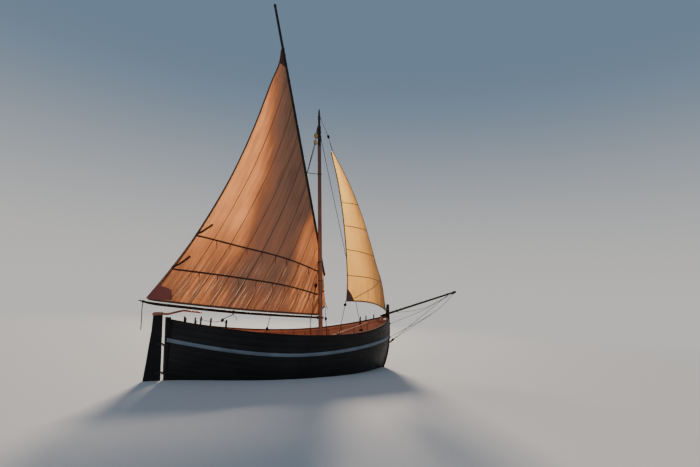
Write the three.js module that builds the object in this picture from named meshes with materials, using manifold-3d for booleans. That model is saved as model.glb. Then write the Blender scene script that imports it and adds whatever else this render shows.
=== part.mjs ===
// Falkusa: a double-ended lateen sailing boat, afloat, with its sails set.
// Millimetres. +X forward, +Y port, +Z up, origin on the waterline amidships.
import * as THREE from "three";
import { mergeVertices } from "three/addons/utils/BufferGeometryUtils.js";
import Module from "manifold-3d";

const wasm = await Module();
wasm.setup();

// Driving dimensions of the hull
const HALF_LENGTH = 4500;
const HALF_BEAM = 1455;
const FULLNESS_FORWARD = 3.14; // exponent of the sheer plan, bow half
const FULLNESS_AFT = 2.15; // exponent of the sheer plan, stern half
const STRAKE_NARROWING = 0.985; // half-breadth at the rubbing strake over that at the rail
const STRAKE_LINE = [772.5, 226.3, 553.4, -176.7, -141.4]; // height by powers of x / half length
const RAIL_LINE = [1339.3, 29.3, 414.2, 143.1, 128.8]; // top of the raised side strakes
const KEEL_BOTTOM = -680;
const RABBET_AMIDSHIPS = -450;
const RABBET_RISE = 30; // how much the rabbet rises towards the ends
const HALF_SIDING = 50; // stem and keel are 100 mm thick
const SHELL = 38;
const RIB = 55;
const SIDE_PLANK = 24;
const STRAKE_HEIGHT = 110;
const STRAKE_THICK = 42;
const CAP_THICK = 32;
const DECK_THICK = 28;
const DECK_CAMBER = 45;
const DECK_DROP = 12; // deck edge below the strake's middle line
const GAP = 0.4; // between pieces that touch

// Stations shared by the shell, decks, strakes, rails and coaming
const STATIONS = [
  -4380, -4250, -4050, -3800, -3500, -3150, -2900, -2450, -2000, -1500, -1000, -500, 0, 500, 760,
  1200, 1700, 2200, 2700, 3100, 3450, 3750, 4000, 4200, 4330, 4420,
];
const SHELL_LEVELS = [0, 0.09, 0.2, 0.33, 0.48, 0.65, 0.82]; // share of the height from rabbet to strake
const TOP_STRIP = 80; // last row of the shell below its top edge

// Well, masts and rig
const WELL_AFT = -2900;
const WELL_FORWARD = 760;
const SIDE_DECK = 340;
const COAMING_THICK = 27;
const COAMING_ABOVE = 95;
const COAMING_BELOW = 110;
const MAST_X = 1029; // mast axis at MAST_Z
const MAST_Z = 1263;
const MAST_RAKE = THREE.MathUtils.degToRad(4.73);
const RIG_SWING = THREE.MathUtils.degToRad(5); // boom to starboard of the centreline
const RIG_OFFSET = 165; // yard and boom lie to port of the mast axis
const YARD_FOOT = [360, 2150]; // forward of the mast axis, up along it
const YARD_PEAK = [-1964, 12080];
const YARD_RADIUS = 50;
const BOOM_RADIUS = 40;
const RUDDER_RAKE = 0.075; // sternpost and hinge lean aft by this per unit of height
const HINGE_X = -4465; // hinge axis at the waterline
const HINGE_GAP = 46; // hinge axis to the sternpost and to the blade
const POST_AFT_X = HINGE_X + HINGE_GAP; // sternpost's aft face at the waterline

const HULL_BLACK = { color: 0x16181b, roughness: 0.35, metalness: 0 };
const STRAKE_PALE = { color: 0x9fb0c0, roughness: 0.5, metalness: 0 };
const INNER_RED = { color: 0x6a2c1c, roughness: 0.6, metalness: 0 };
const RAIL_DARK = { color: 0x2a1a14, roughness: 0.55, metalness: 0 };
const DECK_WOOD = { color: 0x8a5a38, roughness: 0.7, metalness: 0 };
const SPAR_RED = { color: 0x5a2a1e, roughness: 0.5, metalness: 0 };
const SPAR_DARK = { color: 0x241a16, roughness: 0.6, metalness: 0 };
const LIGHT_WOOD = { color: 0xb87a4c, roughness: 0.6, metalness: 0 };
const IRON = { color: 0x2b2b2d, roughness: 0.6, metalness: 0.7 };
const ROPE = { color: 0x4a3c30, roughness: 0.9, metalness: 0 };
const SAIL_TAN = { color: 0xb06a42, roughness: 0.9, metalness: 0 };
const JIB_CREAM = { color: 0xd8b684, roughness: 0.9, metalness: 0 };

const boat = new THREE.Group();
boat.name = "falkusa";

const clamp = THREE.MathUtils.clamp;
const lerp = THREE.MathUtils.lerp;

function polynomial(line, x) {
  const t = x / HALF_LENGTH;
  return line.reduce((sum, factor, power) => sum + factor * t ** power, 0);
}

// Geometry helpers

function signedVolume(geometry) {
  const p = geometry.attributes.position;
  const index = geometry.index.array;
  const [a, b, c] = [new THREE.Vector3(), new THREE.Vector3(), new THREE.Vector3()];
  let volume = 0;
  for (let i = 0; i < index.length; i += 3) {
    a.fromBufferAttribute(p, index[i]);
    b.fromBufferAttribute(p, index[i + 1]);
    c.fromBufferAttribute(p, index[i + 2]);
    volume += a.dot(b.cross(c)) / 6;
  }
  return volume;
}

// A closed geometry from points and triangles, turned so that its faces point out
function closed(points, triangles) {
  const geometry = new THREE.BufferGeometry();
  geometry.setAttribute("position", new THREE.Float32BufferAttribute(points.flat(), 3));
  geometry.setIndex(triangles.flat());
  if (signedVolume(geometry) < 0) {
    geometry.setIndex(triangles.map(([i, j, k]) => [i, k, j]).flat());
  }
  return geometry;
}

// Skin over a row of rings with equal point counts. The ends are closed by fans, or for a ring
// that mirrors itself about the centreline, by strips from side to side.
function loft(rings, mirrored = false) {
  const count = rings[0].length;
  const points = rings.flat();
  const triangles = [];
  for (let r = 0; r + 1 < rings.length; r++) {
    for (let i = 0; i < count; i++) {
      const j = (i + 1) % count;
      const [a, b] = [r * count + i, r * count + j];
      triangles.push([a, b, a + count], [b, b + count, a + count]);
    }
  }
  for (const [start, ring, flip] of [[0, rings[0], true], [points.length - count, rings.at(-1), false]]) {
    if (mirrored) {
      for (let i = 0; i + 1 < count / 2; i++) {
        const [a, b, c, d] = [start + i, start + i + 1, start + count - 2 - i, start + count - 1 - i];
        triangles.push(...(flip ? [[a, c, b], [a, d, c]] : [[a, b, c], [a, c, d]]));
      }
      continue;
    }
    const centre = [0, 1, 2].map((k) => ring.reduce((sum, q) => sum + q[k], 0) / count);
    points.push(centre);
    for (let i = 0; i < count; i++) {
      const [a, b] = [start + i, start + ((i + 1) % count)];
      triangles.push(flip ? [points.length - 1, b, a] : [points.length - 1, a, b]);
    }
  }
  return closed(points, triangles);
}

// A plate with two skins: front and back are grids of points with the same rows and columns
function plate(front, back) {
  const rows = front.length;
  const columns = front[0].length;
  const points = [...front.flat(), ...back.flat()];
  const at = (side, r, c) => side * rows * columns + r * columns + c;
  const triangles = [];
  const quad = (a, b, c, d) => triangles.push([a, b, c], [a, c, d]);
  for (let r = 0; r + 1 < rows; r++) {
    for (let c = 0; c + 1 < columns; c++) {
      quad(at(0, r, c), at(0, r, c + 1), at(0, r + 1, c + 1), at(0, r + 1, c));
      quad(at(1, r, c), at(1, r + 1, c), at(1, r + 1, c + 1), at(1, r, c + 1));
    }
    quad(at(0, r, 0), at(0, r + 1, 0), at(1, r + 1, 0), at(1, r, 0));
    quad(at(0, r, columns - 1), at(1, r, columns - 1), at(1, r + 1, columns - 1), at(0, r + 1, columns - 1));
  }
  for (let c = 0; c + 1 < columns; c++) {
    quad(at(0, 0, c), at(1, 0, c), at(1, 0, c + 1), at(0, 0, c + 1));
    quad(at(0, rows - 1, c), at(0, rows - 1, c + 1), at(1, rows - 1, c + 1), at(1, rows - 1, c));
  }
  return closed(points, triangles);
}

// Round bar along a path, with a radius at each point
function bar(path, radii, sides = 8) {
  const points = path.map((p) => new THREE.Vector3(...p));
  const tangents = points.map((p, i) => {
    const before = points[Math.max(i - 1, 0)];
    const after = points[Math.min(i + 1, points.length - 1)];
    return after.clone().sub(before).normalize();
  });
  const side = Math.abs(tangents[0].z) > 0.8 ? new THREE.Vector3(1, 0, 0) : new THREE.Vector3(0, 0, 1);
  let normal = side.cross(tangents[0]).normalize();
  const rings = points.map((p, i) => {
    normal = normal.clone().addScaledVector(tangents[i], -normal.dot(tangents[i])).normalize();
    const binormal = tangents[i].clone().cross(normal);
    const radius = Array.isArray(radii) ? radii[i] : radii;
    return Array.from({ length: sides }, (_, k) => {
      const angle = (2 * Math.PI * k) / sides;
      return p
        .clone()
        .addScaledVector(normal, radius * Math.cos(angle))
        .addScaledVector(binormal, radius * Math.sin(angle))
        .toArray();
    });
  });
  return loft(rings);
}

// Profile in the XZ plane, extruded to both sides of a plane at y
function extrudeY(outline, halfThickness, y = 0) {
  const shape = new THREE.Shape(outline.map(([x, z]) => new THREE.Vector2(x, z)));
  const geometry = new THREE.ExtrudeGeometry(shape, { depth: 2 * halfThickness, bevelEnabled: false });
  geometry.rotateX(Math.PI / 2);
  geometry.translate(0, y + halfThickness, 0);
  return geometry;
}

function box(low, high) {
  const size = high.map((value, k) => value - low[k]);
  const geometry = new THREE.BoxGeometry(...size);
  geometry.translate(...low.map((value, k) => value + size[k] / 2));
  return geometry;
}

// Upright cylinder or cone from z0 to z1
function post(x, y, z0, z1, radius, topRadius = radius, sides = 10) {
  const geometry = new THREE.CylinderGeometry(topRadius, radius, z1 - z0, sides);
  geometry.rotateX(Math.PI / 2);
  geometry.translate(x, y, (z0 + z1) / 2);
  return geometry;
}

// Ring of rope or iron about a centre, its axis along a direction
function ring(centre, direction, radius, thickness, sides = 16, tubeSides = 6) {
  const geometry = new THREE.TorusGeometry(radius, thickness, tubeSides, sides);
  const turn = new THREE.Quaternion().setFromUnitVectors(
    new THREE.Vector3(0, 0, 1),
    new THREE.Vector3(...direction).normalize(),
  );
  geometry.applyQuaternion(turn);
  geometry.translate(...centre);
  return geometry;
}

// Middle radius of a ring whose flats just clear a round bar
function snugRadius(held, thickness, sides) {
  return (held + GAP + thickness) / Math.cos(Math.PI / sides);
}

function solid(geometry) {
  const bare = geometry.clone();
  bare.deleteAttribute("normal");
  bare.deleteAttribute("uv");
  const merged = mergeVertices(bare, 1e-3);
  return new wasm.Manifold(
    new wasm.Mesh({
      numProp: 3,
      vertProperties: new Float32Array(merged.attributes.position.array),
      triVerts: new Uint32Array(merged.index.array),
    }),
  );
}

function fromSolid(manifold) {
  const mesh = manifold.getMesh();
  const geometry = new THREE.BufferGeometry();
  geometry.setAttribute("position", new THREE.BufferAttribute(new Float32Array(mesh.vertProperties), 3));
  geometry.setIndex(new THREE.BufferAttribute(new Uint32Array(mesh.triVerts), 1));
  return geometry;
}

function join(...geometries) {
  return fromSolid(geometries.map(solid).reduce((a, b) => a.add(b)));
}

function cut(geometry, ...tools) {
  return fromSolid(tools.map(solid).reduce((a, b) => a.subtract(b), solid(geometry)));
}

function common(geometry, tool) {
  return fromSolid(solid(geometry).intersect(solid(tool)));
}

function add(name, geometry, finish, parent = boat) {
  const mesh = new THREE.Mesh(geometry, new THREE.MeshStandardMaterial(finish));
  mesh.name = name;
  parent.add(mesh);
  return mesh;
}

// Hull form

function halfBreadth(x) {
  const t = Math.abs(x / HALF_LENGTH);
  return HALF_BEAM * (1 - t ** (x > 0 ? FULLNESS_FORWARD : FULLNESS_AFT));
}

const strakeZ = (x) => polynomial(STRAKE_LINE, x);
const railZ = (x) => polynomial(RAIL_LINE, x);
const rabbetZ = (x) => RABBET_AMIDSHIPS + RABBET_RISE * (x / 4000) ** 2;

// Outer half-breadth of the topsides at a height between the strake and the rail
function topside(x, z) {
  const rise = (z - strakeZ(x)) / (railZ(x) - strakeZ(x));
  return halfBreadth(x) * lerp(STRAKE_NARROWING, 1, Math.max(rise, 0));
}

// Forward face of the stem: an elliptical forefoot that leans back above the strake
function stemFace(z) {
  const turn = 1150; // height at which the stem is farthest forward
  if (z > turn) {
    return 4530 - 55 * ((z - turn) / 850) ** 1.6;
  }
  const drop = (turn - z) / (turn - KEEL_BOTTOM);
  return 3300 + 1230 * Math.sqrt(1 - drop * drop);
}

const RABBET_DEPTH = 110; // plank ends lie this far behind the stem's face
const bowEnd = (z) => Math.min(stemFace(z) - RABBET_DEPTH, STATIONS.at(-1));
const sternEnd = (z) => Math.max(-4329 - RUDDER_RAKE * z, STATIONS[0]);

// One side of a hull section, from the top edge down to the rabbet, as [x, y, z] rows
function halfSection(station) {
  const [first, last] = [STATIONS[0], STATIONS.at(-1)];
  const share = (station - first) / (last - first);
  const top = strakeZ(station);
  const bottom = rabbetZ(station);
  const full = 1 - (station / HALF_LENGTH) ** 2;
  const breadth = topside(station, top);
  const rows = [[station, breadth, top]];
  const edge = 1 + 0.004 * full; // the topsides stay nearly upright just below the strake
  rows.push([station, breadth / edge, top - TOP_STRIP]);
  for (const level of SHELL_LEVELS.toReversed()) {
    const z = lerp(bottom, top - TOP_STRIP, level);
    const x = lerp(sternEnd(z), bowEnd(z), share);
    const bulge = (1 - (1 - level) ** (1.25 + 1.75 * full)) ** (1 / (1 + full));
    rows.push([x, lerp(HALF_SIDING, breadth / edge, bulge), z]);
  }
  return rows;
}

// Rows of a section moved inwards, square to the planking
function insetRows(rows, inset) {
  return rows.map(([x, y, z], i) => {
    const before = rows[i - 1] ?? [x, y, z + 1];
    const after = rows[i + 1] ?? [x, y - 1, z];
    const n1 = new THREE.Vector2(before[2] - z, y - before[1]).normalize();
    const n2 = new THREE.Vector2(z - after[2], after[1] - y).normalize();
    const mitre = n1.clone().add(n2).divideScalar(1 + n1.dot(n2));
    return [x, Math.max(y - inset * mitre.x, 6), z - inset * mitre.y];
  });
}

// The hull's volume, inset from its outer face and raised at the top
function hullVolume(inset = 0, raise = 0) {
  const ends = inset * 0.65;
  const shrink = (x) => x * (1 - (2 * ends) / (STATIONS.at(-1) - STATIONS[0]));
  const rings = STATIONS.map((station) => {
    const rows = insetRows(halfSection(station), inset).map(([x, y, z]) => [shrink(x), y, z]);
    if (raise > 0) {
      rows.unshift([rows[0][0], rows[0][1], rows[0][2] + raise]);
    }
    return [...rows, ...rows.toReversed().map(([x, y, z]) => [x, -y, z])];
  });
  return loft(rings, true);
}

const insideOfShell = hullVolume(SHELL + GAP, 70);
const insideOfRibs = hullVolume(SHELL + GAP + RIB, 70);
const betweenRibs = hullVolume(SHELL + 2 * GAP + RIB, 70);

function hullShell() {
  return cut(hullVolume(), hullVolume(SHELL, 70));
}

// Backbone

function rabbetPoints() {
  return STATIONS.map((station) => {
    const [x, , z] = halfSection(station).at(-1);
    return [x, z - GAP];
  });
}

function keel() {
  const top = rabbetPoints();
  const scarf = 3300;
  const line = top.filter(([x]) => x < scarf - 60);
  const aft = POST_AFT_X - RUDDER_RAKE * KEEL_BOTTOM;
  return extrudeY(
    [[aft, KEEL_BOTTOM], [scarf - 60, KEEL_BOTTOM], [scarf - GAP, line.at(-1)[1]], ...line.toReversed(),
      [aft, line[0][1]]],
    HALF_SIDING,
  );
}

const STEM_HEAD = 2514;

function stem() {
  const heights = [-560, -400, -200, 0, 250, 500, 800, 1150, 1500, 1800, 2050, 2300, STEM_HEAD];
  const face = [[3300 + 60, KEEL_BOTTOM + 4], ...heights.map((z) => [stemFace(z), z])];
  const innerX = 4330;
  const rabbet = [1, 2, 3, 4, 5, 6, 7, 8].map((row) => {
    const [, , z] = halfSection(STATIONS.at(-1))[row];
    return [bowEnd(z) + GAP, z];
  });
  const top = strakeZ(STATIONS.at(-1)) + 12;
  const bottomZ = rabbetPoints().at(-1)[1];
  const [bowX, scarfZ] = [rabbet.at(-1)[0], rabbetPoints().filter(([x]) => x < 3240).at(-1)[1]];
  return extrudeY(
    [
      [3240 + GAP, KEEL_BOTTOM],
      ...face,
      [4413 - 62, STEM_HEAD],
      [innerX, 2080],
      [innerX, top],
      [rabbet[0][0], top],
      ...rabbet,
      [bowX, bottomZ],
      [3300 + GAP, scarfZ],
    ],
    HALF_SIDING,
  );
}

const POST_HALF = 54;

function sternpost() {
  const face = (z) => POST_AFT_X - RUDDER_RAKE * z;
  const rabbet = halfSection(STATIONS[0]).map(([x, , z]) => [x - GAP, z]);
  const bottom = rabbet.at(-1)[1];
  const step = rabbet[0][1] + 12;
  const [shoulder, top] = [1716, 1778];
  return extrudeY(
    [[face(bottom), bottom], ...rabbet.toReversed(), [STATIONS[0] - GAP, step], [-4305, step],
      [-4320, shoulder - 15], [-4408, shoulder], [-4412, top], [face(top), top]],
    POST_HALF,
  );
}

// Raised side strakes with their inner timbers, and the rail on top

const SIDE_TIMBERS = [-3900, -3400, -2880, -2360, -1840, -1320, -800, -280, 240, 760, 1280, 1800, 2320, 2840,
  3330, 3800];

function sidePlank(side) {
  const rings = STATIONS.map((x) => {
    const [low, high] = [strakeZ(x) + GAP, railZ(x)];
    const [yLow, yHigh] = [topside(x, low), topside(x, high)];
    return [
      [x, side * yLow, low],
      [x, side * yHigh, high],
      [x, side * (yHigh - SIDE_PLANK), high],
      [x, side * (yLow - SIDE_PLANK), low],
    ];
  });
  return loft(rings);
}

// Timber against the inner face of the raised side, from the deck edge to the rail
function sideTimber(side, x) {
  const [depth, half] = [46, 24];
  const rings = [x - half, x + half].map((at) => {
    const [low, high] = [strakeZ(at) + 14, railZ(at) - 3];
    const [yLow, yHigh] = [topside(at, low) - 9, topside(at, high) - 9];
    return [
      [at, side * yLow, low],
      [at, side * yHigh, high],
      [at, side * (yHigh - depth), high],
      [at, side * (yLow - depth), low],
    ];
  });
  return loft(rings);
}

// Chock inside the port side that a stay's lashing pulls on
function stayChock(x, z) {
  const y = topside(x, z);
  return box([x - 55, y - 135, z - 60], [x + 55, y - 10, z]);
}

function raisedSide(side) {
  const pieces = [sidePlank(side), ...SIDE_TIMBERS.map((x) => sideTimber(side, x))];
  if (side > 0) {
    pieces.push(...STAYS.map((stay) => stayChock(stay.footX, stay.footZ)));
  }
  return join(...pieces);
}

// Thole pins and the mainsheet post: x, side (1 port), height above the rail, radius
const PINS = [
  { x: -4090, side: -1, height: 180, radius: 20 },
  { x: -3810, side: -1, height: 110, radius: 20 },
  { x: -3690, side: -1, height: 260, radius: 22 },
  { x: -3440, side: -1, height: 260, radius: 24 },
  { x: -3040, side: -1, height: 270, radius: 28 },
  { x: -3810, side: 1, height: 150, radius: 19 },
  { x: -3440, side: 1, height: 215, radius: 21 },
  { x: 3750, side: 1, height: 150, radius: 19 },
  { x: 4010, side: 1, height: 150, radius: 19 },
];

function capRail(side) {
  const rings = STATIONS.map((x) => {
    const z = railZ(x) + GAP;
    const outer = topside(x, railZ(x)) + 20;
    const inner = Math.max(outer - 88, HALF_SIDING + 12);
    return [
      [x, side * inner, z],
      [x, side * outer, z],
      [x, side * outer, z + CAP_THICK],
      [x, side * inner, z + CAP_THICK],
    ];
  });
  const pins = PINS.filter((pin) => pin.side === side).map(({ x, height, radius }) => {
    const y = side * (topside(x, railZ(x)) - 22);
    return post(x, y, railZ(x) + 8, railZ(x) + height, radius, radius * 0.85);
  });
  return join(loft(rings), ...pins);
}

const STRAKE_END = -4478; // it runs on over the sternpost's side

function rubbingStrake(side) {
  const rings = [STRAKE_END, ...STATIONS].map((x) => {
    const middle = strakeZ(x);
    const [low, high] = [middle - STRAKE_HEIGHT / 2, middle + STRAKE_HEIGHT / 2];
    const thick = STRAKE_THICK * clamp(halfBreadth(x) / 400, 0.45, 1);
    const inner = Math.max(topside(x, high), POST_HALF) + GAP;
    return [
      [x, side * inner, low],
      [x, side * (inner + thick * 0.6), low],
      [x, side * (inner + thick), low + 25],
      [x, side * (inner + thick), high - 25],
      [x, side * (inner + thick * 0.6), high],
      [x, side * inner, high],
    ];
  });
  return loft(rings);
}

// Decks

function deckZ(x, y) {
  const half = halfBreadth(x);
  return strakeZ(x) - DECK_DROP + (DECK_CAMBER * Math.max(half * half - y * y, 0)) / HALF_BEAM ** 2;
}

const wellHalf = (x) => Math.min(halfBreadth(x) - SIDE_DECK, 1050);

// Slab that follows the deck's surface: between two stations and two shares of the breadth
function deckSlab(from, to, lift, depth, sides = [-1, 1]) {
  const columns = [0, 0.2, 0.4, 0.6, 0.8, 1];
  const stations = STATIONS.filter((x) => x >= from && x <= to);
  const top = stations.map((x) =>
    columns.map((c) => {
      const y = lerp(sides[0], sides[1], c) * halfBreadth(x);
      return [x, y, deckZ(x, y) + lift];
    }),
  );
  const bottom = top.map((row) => row.map(([x, y, z]) => [x, y, z - depth]));
  return plate(top, bottom);
}

function endDeck(from, to) {
  return common(deckSlab(from, to, 0, DECK_THICK), insideOfShell);
}

// Prism over the well, out to its edge plus a margin
function wellPrism(margin, low, high) {
  const stations = STATIONS.filter((x) => x >= WELL_AFT && x <= WELL_FORWARD);
  const rings = stations.map((x, i) => {
    const end = i === 0 ? -margin : i === stations.length - 1 ? margin : 0;
    const y = wellHalf(x) + margin;
    return [[x + end, -y, low], [x + end, y, low], [x + end, y, high], [x + end, -y, high]];
  });
  return loft(rings);
}

function sideDeck(side) {
  const slab = cut(deckSlab(WELL_AFT, WELL_FORWARD, 0, DECK_THICK), wellPrism(0, 0, 2000));
  const half = side > 0 ? box([-4000, 300, 0], [2000, 2000, 2000]) : box([-4000, -2000, 0], [2000, -300, 2000]);
  const ends = box([WELL_AFT + GAP, -2000, 0], [WELL_FORWARD - GAP, 2000, 2000]);
  return common(common(common(slab, insideOfShell), half), ends);
}

function coaming() {
  const band = cut(wellPrism(-GAP, 300, 1400), wellPrism(-GAP - COAMING_THICK, 200, 1500));
  const belt = deckSlab(WELL_AFT, WELL_FORWARD, COAMING_ABOVE, COAMING_ABOVE + COAMING_BELOW);
  return common(band, belt);
}

// Ribs and keelson inside the well

const RIB_STATIONS = [-2750, -2200, -1650, -1100, -550, 0, 550];
const KEELSON_TOP = -300;
const FLOOR_TOP = -141;
const FLOOR_THICK = 24;

function framesAndKeelson() {
  const half = 28;
  const slabs = RIB_STATIONS.map((x) => solid(box([x - half, -1600, -600], [x + half, 1600, strakeZ(x) - 60])));
  const all = slabs.reduce((a, b) => a.add(b));
  const ribs = all.intersect(solid(insideOfShell)).subtract(solid(insideOfRibs));
  const beam = solid(box([-3000, -70, -600], [1420, 70, KEELSON_TOP])).intersect(solid(insideOfShell));
  const bearers = [-2475, -825, 275].map((x) =>
    solid(box([x - 40, -60, KEELSON_TOP - 20], [x + 40, 60, FLOOR_TOP - FLOOR_THICK - GAP])),
  );
  return fromSolid(bearers.reduce((a, b) => a.add(b), ribs.add(beam)));
}

function floorboards() {
  return common(box([-2700, -1500, FLOOR_TOP - FLOOR_THICK], [620, 1500, FLOOR_TOP]), betweenRibs);
}

const THWARTS = [-1650, -550]; // each rests on a pair of ribs
const THWART_TOP = 598;

function thwart(x) {
  return common(box([x - 120, -1500, THWART_TOP - 40], [x + 120, 1500, THWART_TOP]), betweenRibs);
}

// Mast and what holds it

const rakeAft = Math.tan(MAST_RAKE);
const mastX = (z) => MAST_X - (z - MAST_Z) * rakeAft;
const MAST_HEEL = -180;
const MAST_HEAD = 9805;

// Height and radius along the mast
const MAST_PROFILE = [
  [MAST_HEEL, 70], [300, 78], [900, 82], [2000, 79], [5000, 74], [7500, 69], [9020, 63], [9080, 46],
  [9520, 40], [MAST_HEAD - 90, 30], [MAST_HEAD, 13],
];

const mastRadius = (z) => profileAt(MAST_PROFILE, z);

function mastShape(grow = 0) {
  const path = MAST_PROFILE.map(([z], i) => [mastX(z), 0, i === 0 ? z - grow : z]);
  return bar(path, MAST_PROFILE.map(([, radius]) => radius + grow), 12);
}

function mastStep() {
  const x = mastX(MAST_HEEL);
  return cut(box([x - 210, -110, KEELSON_TOP + GAP], [x + 210, 110, -120]), mastShape(1.5));
}

function mastPartner() {
  const x = mastX(900);
  const under = deckSlab(WELL_FORWARD, 3100, GAP, 400);
  const block = box([x - 190, -190, 780], [x + 190, 190, 1010]);
  const above = deckSlab(WELL_FORWARD, 3100, 58, 900);
  return cut(common(block, above), under, mastShape(GAP));
}

// Rings around the masthead and the port stays: foot position inside the raised side
const STAYS = [
  { name: "stay_port_aft", headZ: 8880, footX: -500, footZ: 1160 },
  { name: "stay_port_fore", headZ: 8720, footX: 3560, footZ: 1440 },
];

function stay({ headZ, footX, footZ }) {
  const eyeRadius = snugRadius(mastRadius(headZ), 10, 16);
  const eye = ring([mastX(headZ), 0, headZ], [-rakeAft, 0, 1], eyeRadius, 10);
  const foot = new THREE.Vector3(footX, topside(footX, footZ) - 108, footZ + GAP);
  const toFoot = Math.atan2(foot.y, footX - mastX(headZ));
  const head = new THREE.Vector3(
    mastX(headZ) + eyeRadius * Math.cos(toFoot),
    eyeRadius * Math.sin(toFoot),
    headZ - eyeRadius * Math.cos(toFoot) * -rakeAft,
  );
  const along = (distance) => foot.clone().addScaledVector(head.clone().sub(foot).normalize(), distance).toArray();
  const length = head.distanceTo(foot);
  const rope = bar([along(20), along(length)], 9, 6);
  const lashing = bar([foot.clone().setZ(foot.z + 12).toArray(), along(30), along(190)], [12, 22, 16], 8);
  const deadeye = bar([along(180), along(200), along(270), along(290)], [14, 44, 44, 14], 10);
  return join(eye, rope, lashing, deadeye);
}

// Bowsprit along the stem's port side
const SPRIT_TIP = [9035, 3305];
const SPRIT_SLOPE = 0.26;
const SPRIT_Y = 112;
const spritZ = (x) => SPRIT_TIP[1] - (SPRIT_TIP[0] - x) * SPRIT_SLOPE;

// Forward position and radius along the bowsprit
const SPRIT_PROFILE = [[4130, 46], [4700, 47], [6800, 46], [8850, 43], [8930, 43], [8955, 60], [9005, 60],
  [SPRIT_TIP[0], 36]];

// Second column of a profile table, between its rows
function profileAt(profile, place) {
  const upper = clamp(profile.findIndex(([at]) => at >= place), 1, profile.length - 1);
  const [[a0, r0], [a1, r1]] = [profile[upper - 1], profile[upper]];
  return lerp(r0, r1, (place - a0) / (a1 - a0));
}

const spritRadius = (x) => profileAt(SPRIT_PROFILE, x);

function bowspritShape(grow = 0) {
  return bar(
    SPRIT_PROFILE.map(([x], i) => [i === 0 ? x - grow : x, SPRIT_Y, spritZ(x)]),
    SPRIT_PROFILE.map(([, radius]) => radius + grow),
    10,
  );
}

function breasthook() {
  const [from, to] = [4060, 4326];
  const rings = [from, to].map((x) => {
    const z = railZ(x) - 12;
    const y = topside(x, z - 60) - SIDE_PLANK - 3;
    return [[x, -y, z - 60], [x, y, z - 60], [x, y, z], [x, -y, z]];
  });
  const chock = box([4135, SPRIT_Y - 45, 1860], [4215, SPRIT_Y + 45, 2010]);
  return cut(join(loft(rings), chock), bowspritShape(GAP));
}

function gammonIron() {
  const x = 4443;
  const band = bar([[x - 18, SPRIT_Y, spritZ(x - 20)], [x + 18, SPRIT_Y, spritZ(x + 18)]], 55, 12);
  const lug = box([x - 18, HALF_SIDING + GAP, spritZ(x) - 10], [x + 14, HALF_SIDING + 18, spritZ(x) + 100]);
  return cut(join(band, lug), bowspritShape(GAP));
}

function bobstay() {
  const plateX = stemFace(1000);
  const eyeIron = box([plateX + GAP, -14, 930], [plateX + 90, 14, 1010]);
  const [x, lean] = [8400, Math.atan(SPRIT_SLOPE)];
  const radius = snugRadius(spritRadius(x), 8, 16);
  const underSprit = [x + radius * Math.sin(lean), SPRIT_Y, spritZ(x) - radius * Math.cos(lean)];
  const rope = bar([[plateX + 70, 0, 985], underSprit], 8, 6);
  const collar = ring([x, SPRIT_Y, spritZ(x)], [1, 0, SPRIT_SLOPE], radius, 8);
  return join(eyeIron, rope, collar);
}

// Jib: corner points of luff and leech from foot to head, x, y, z
const JIB_LUFF = [
  [4236, -60, 2353], [3762, -250, 3343], [3295, -370, 4071], [2888, -430, 4865], [2322, -420, 6013],
  [1677, -280, 7219], [1081, 0, 8302],
];
const JIB_LEECH = [
  [1378, -950, 2517], [1440, -870, 3241], [1435, -700, 4443], [1359, -500, 5759], [1235, -250, 7051],
  [1062, 0, 8250],
];
const JIB_DEPTH = 260; // greatest belly to starboard
const JIB_FOOT_DROP = 130; // the foot's arc
const SAIL_THICK = 10;

function jib() {
  const curve = (points) => new THREE.CatmullRomCurve3(points.map((p) => new THREE.Vector3(...p)));
  const [luff, leech] = [curve(JIB_LUFF), curve(JIB_LEECH)];
  const [rows, columns] = [12, 8];
  const face = (thickness) =>
    Array.from({ length: rows + 1 }, (_, r) => {
      const up = (r / rows) * 0.985;
      const [a, b] = [luff.getPointAt(up), leech.getPointAt(up)];
      return Array.from({ length: columns + 1 }, (_, c) => {
        const w = c / columns;
        const p = a.clone().lerp(b, w);
        const chord = a.distanceTo(b) / 3000;
        p.y -= JIB_DEPTH * chord * Math.sin(Math.PI * w ** 0.85) + thickness;
        p.z += JIB_FOOT_DROP * Math.sin(Math.PI * w) * (1 - up) ** 6;
        return p.toArray();
      });
    });
  return plate(face(0), face(SAIL_THICK));
}

// Sheet of the jib, from its clew to a cleat on the starboard rail
function jibSheet() {
  const clew = JIB_LEECH[0];
  const railX = 730;
  const railY = -(topside(railX, railZ(railX)) - 28);
  const cleatTop = railZ(railX) + CAP_THICK + 45;
  const rope = bar([[clew[0] - 16, clew[1] + 6, clew[2] - 20], [railX, railY, cleatTop]], 8, 6);
  const block = bar(
    [[clew[0] - 20, clew[1] - 4, clew[2] - 42], [clew[0] - 36, clew[1] - 10, clew[2] - 90],
      [clew[0] - 62, clew[1] - 22, clew[2] - 150], [clew[0] - 76, clew[1] - 30, clew[2] - 180]],
    [12, 34, 34, 12],
    8,
  );
  const cleatBottom = railZ(railX + 90) + CAP_THICK + 3.5 * GAP;
  const cleat = box([railX - 90, railY - 16, cleatBottom], [railX + 90, railY + 16, cleatTop]);
  return join(rope, block, cleat);
}

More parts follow.
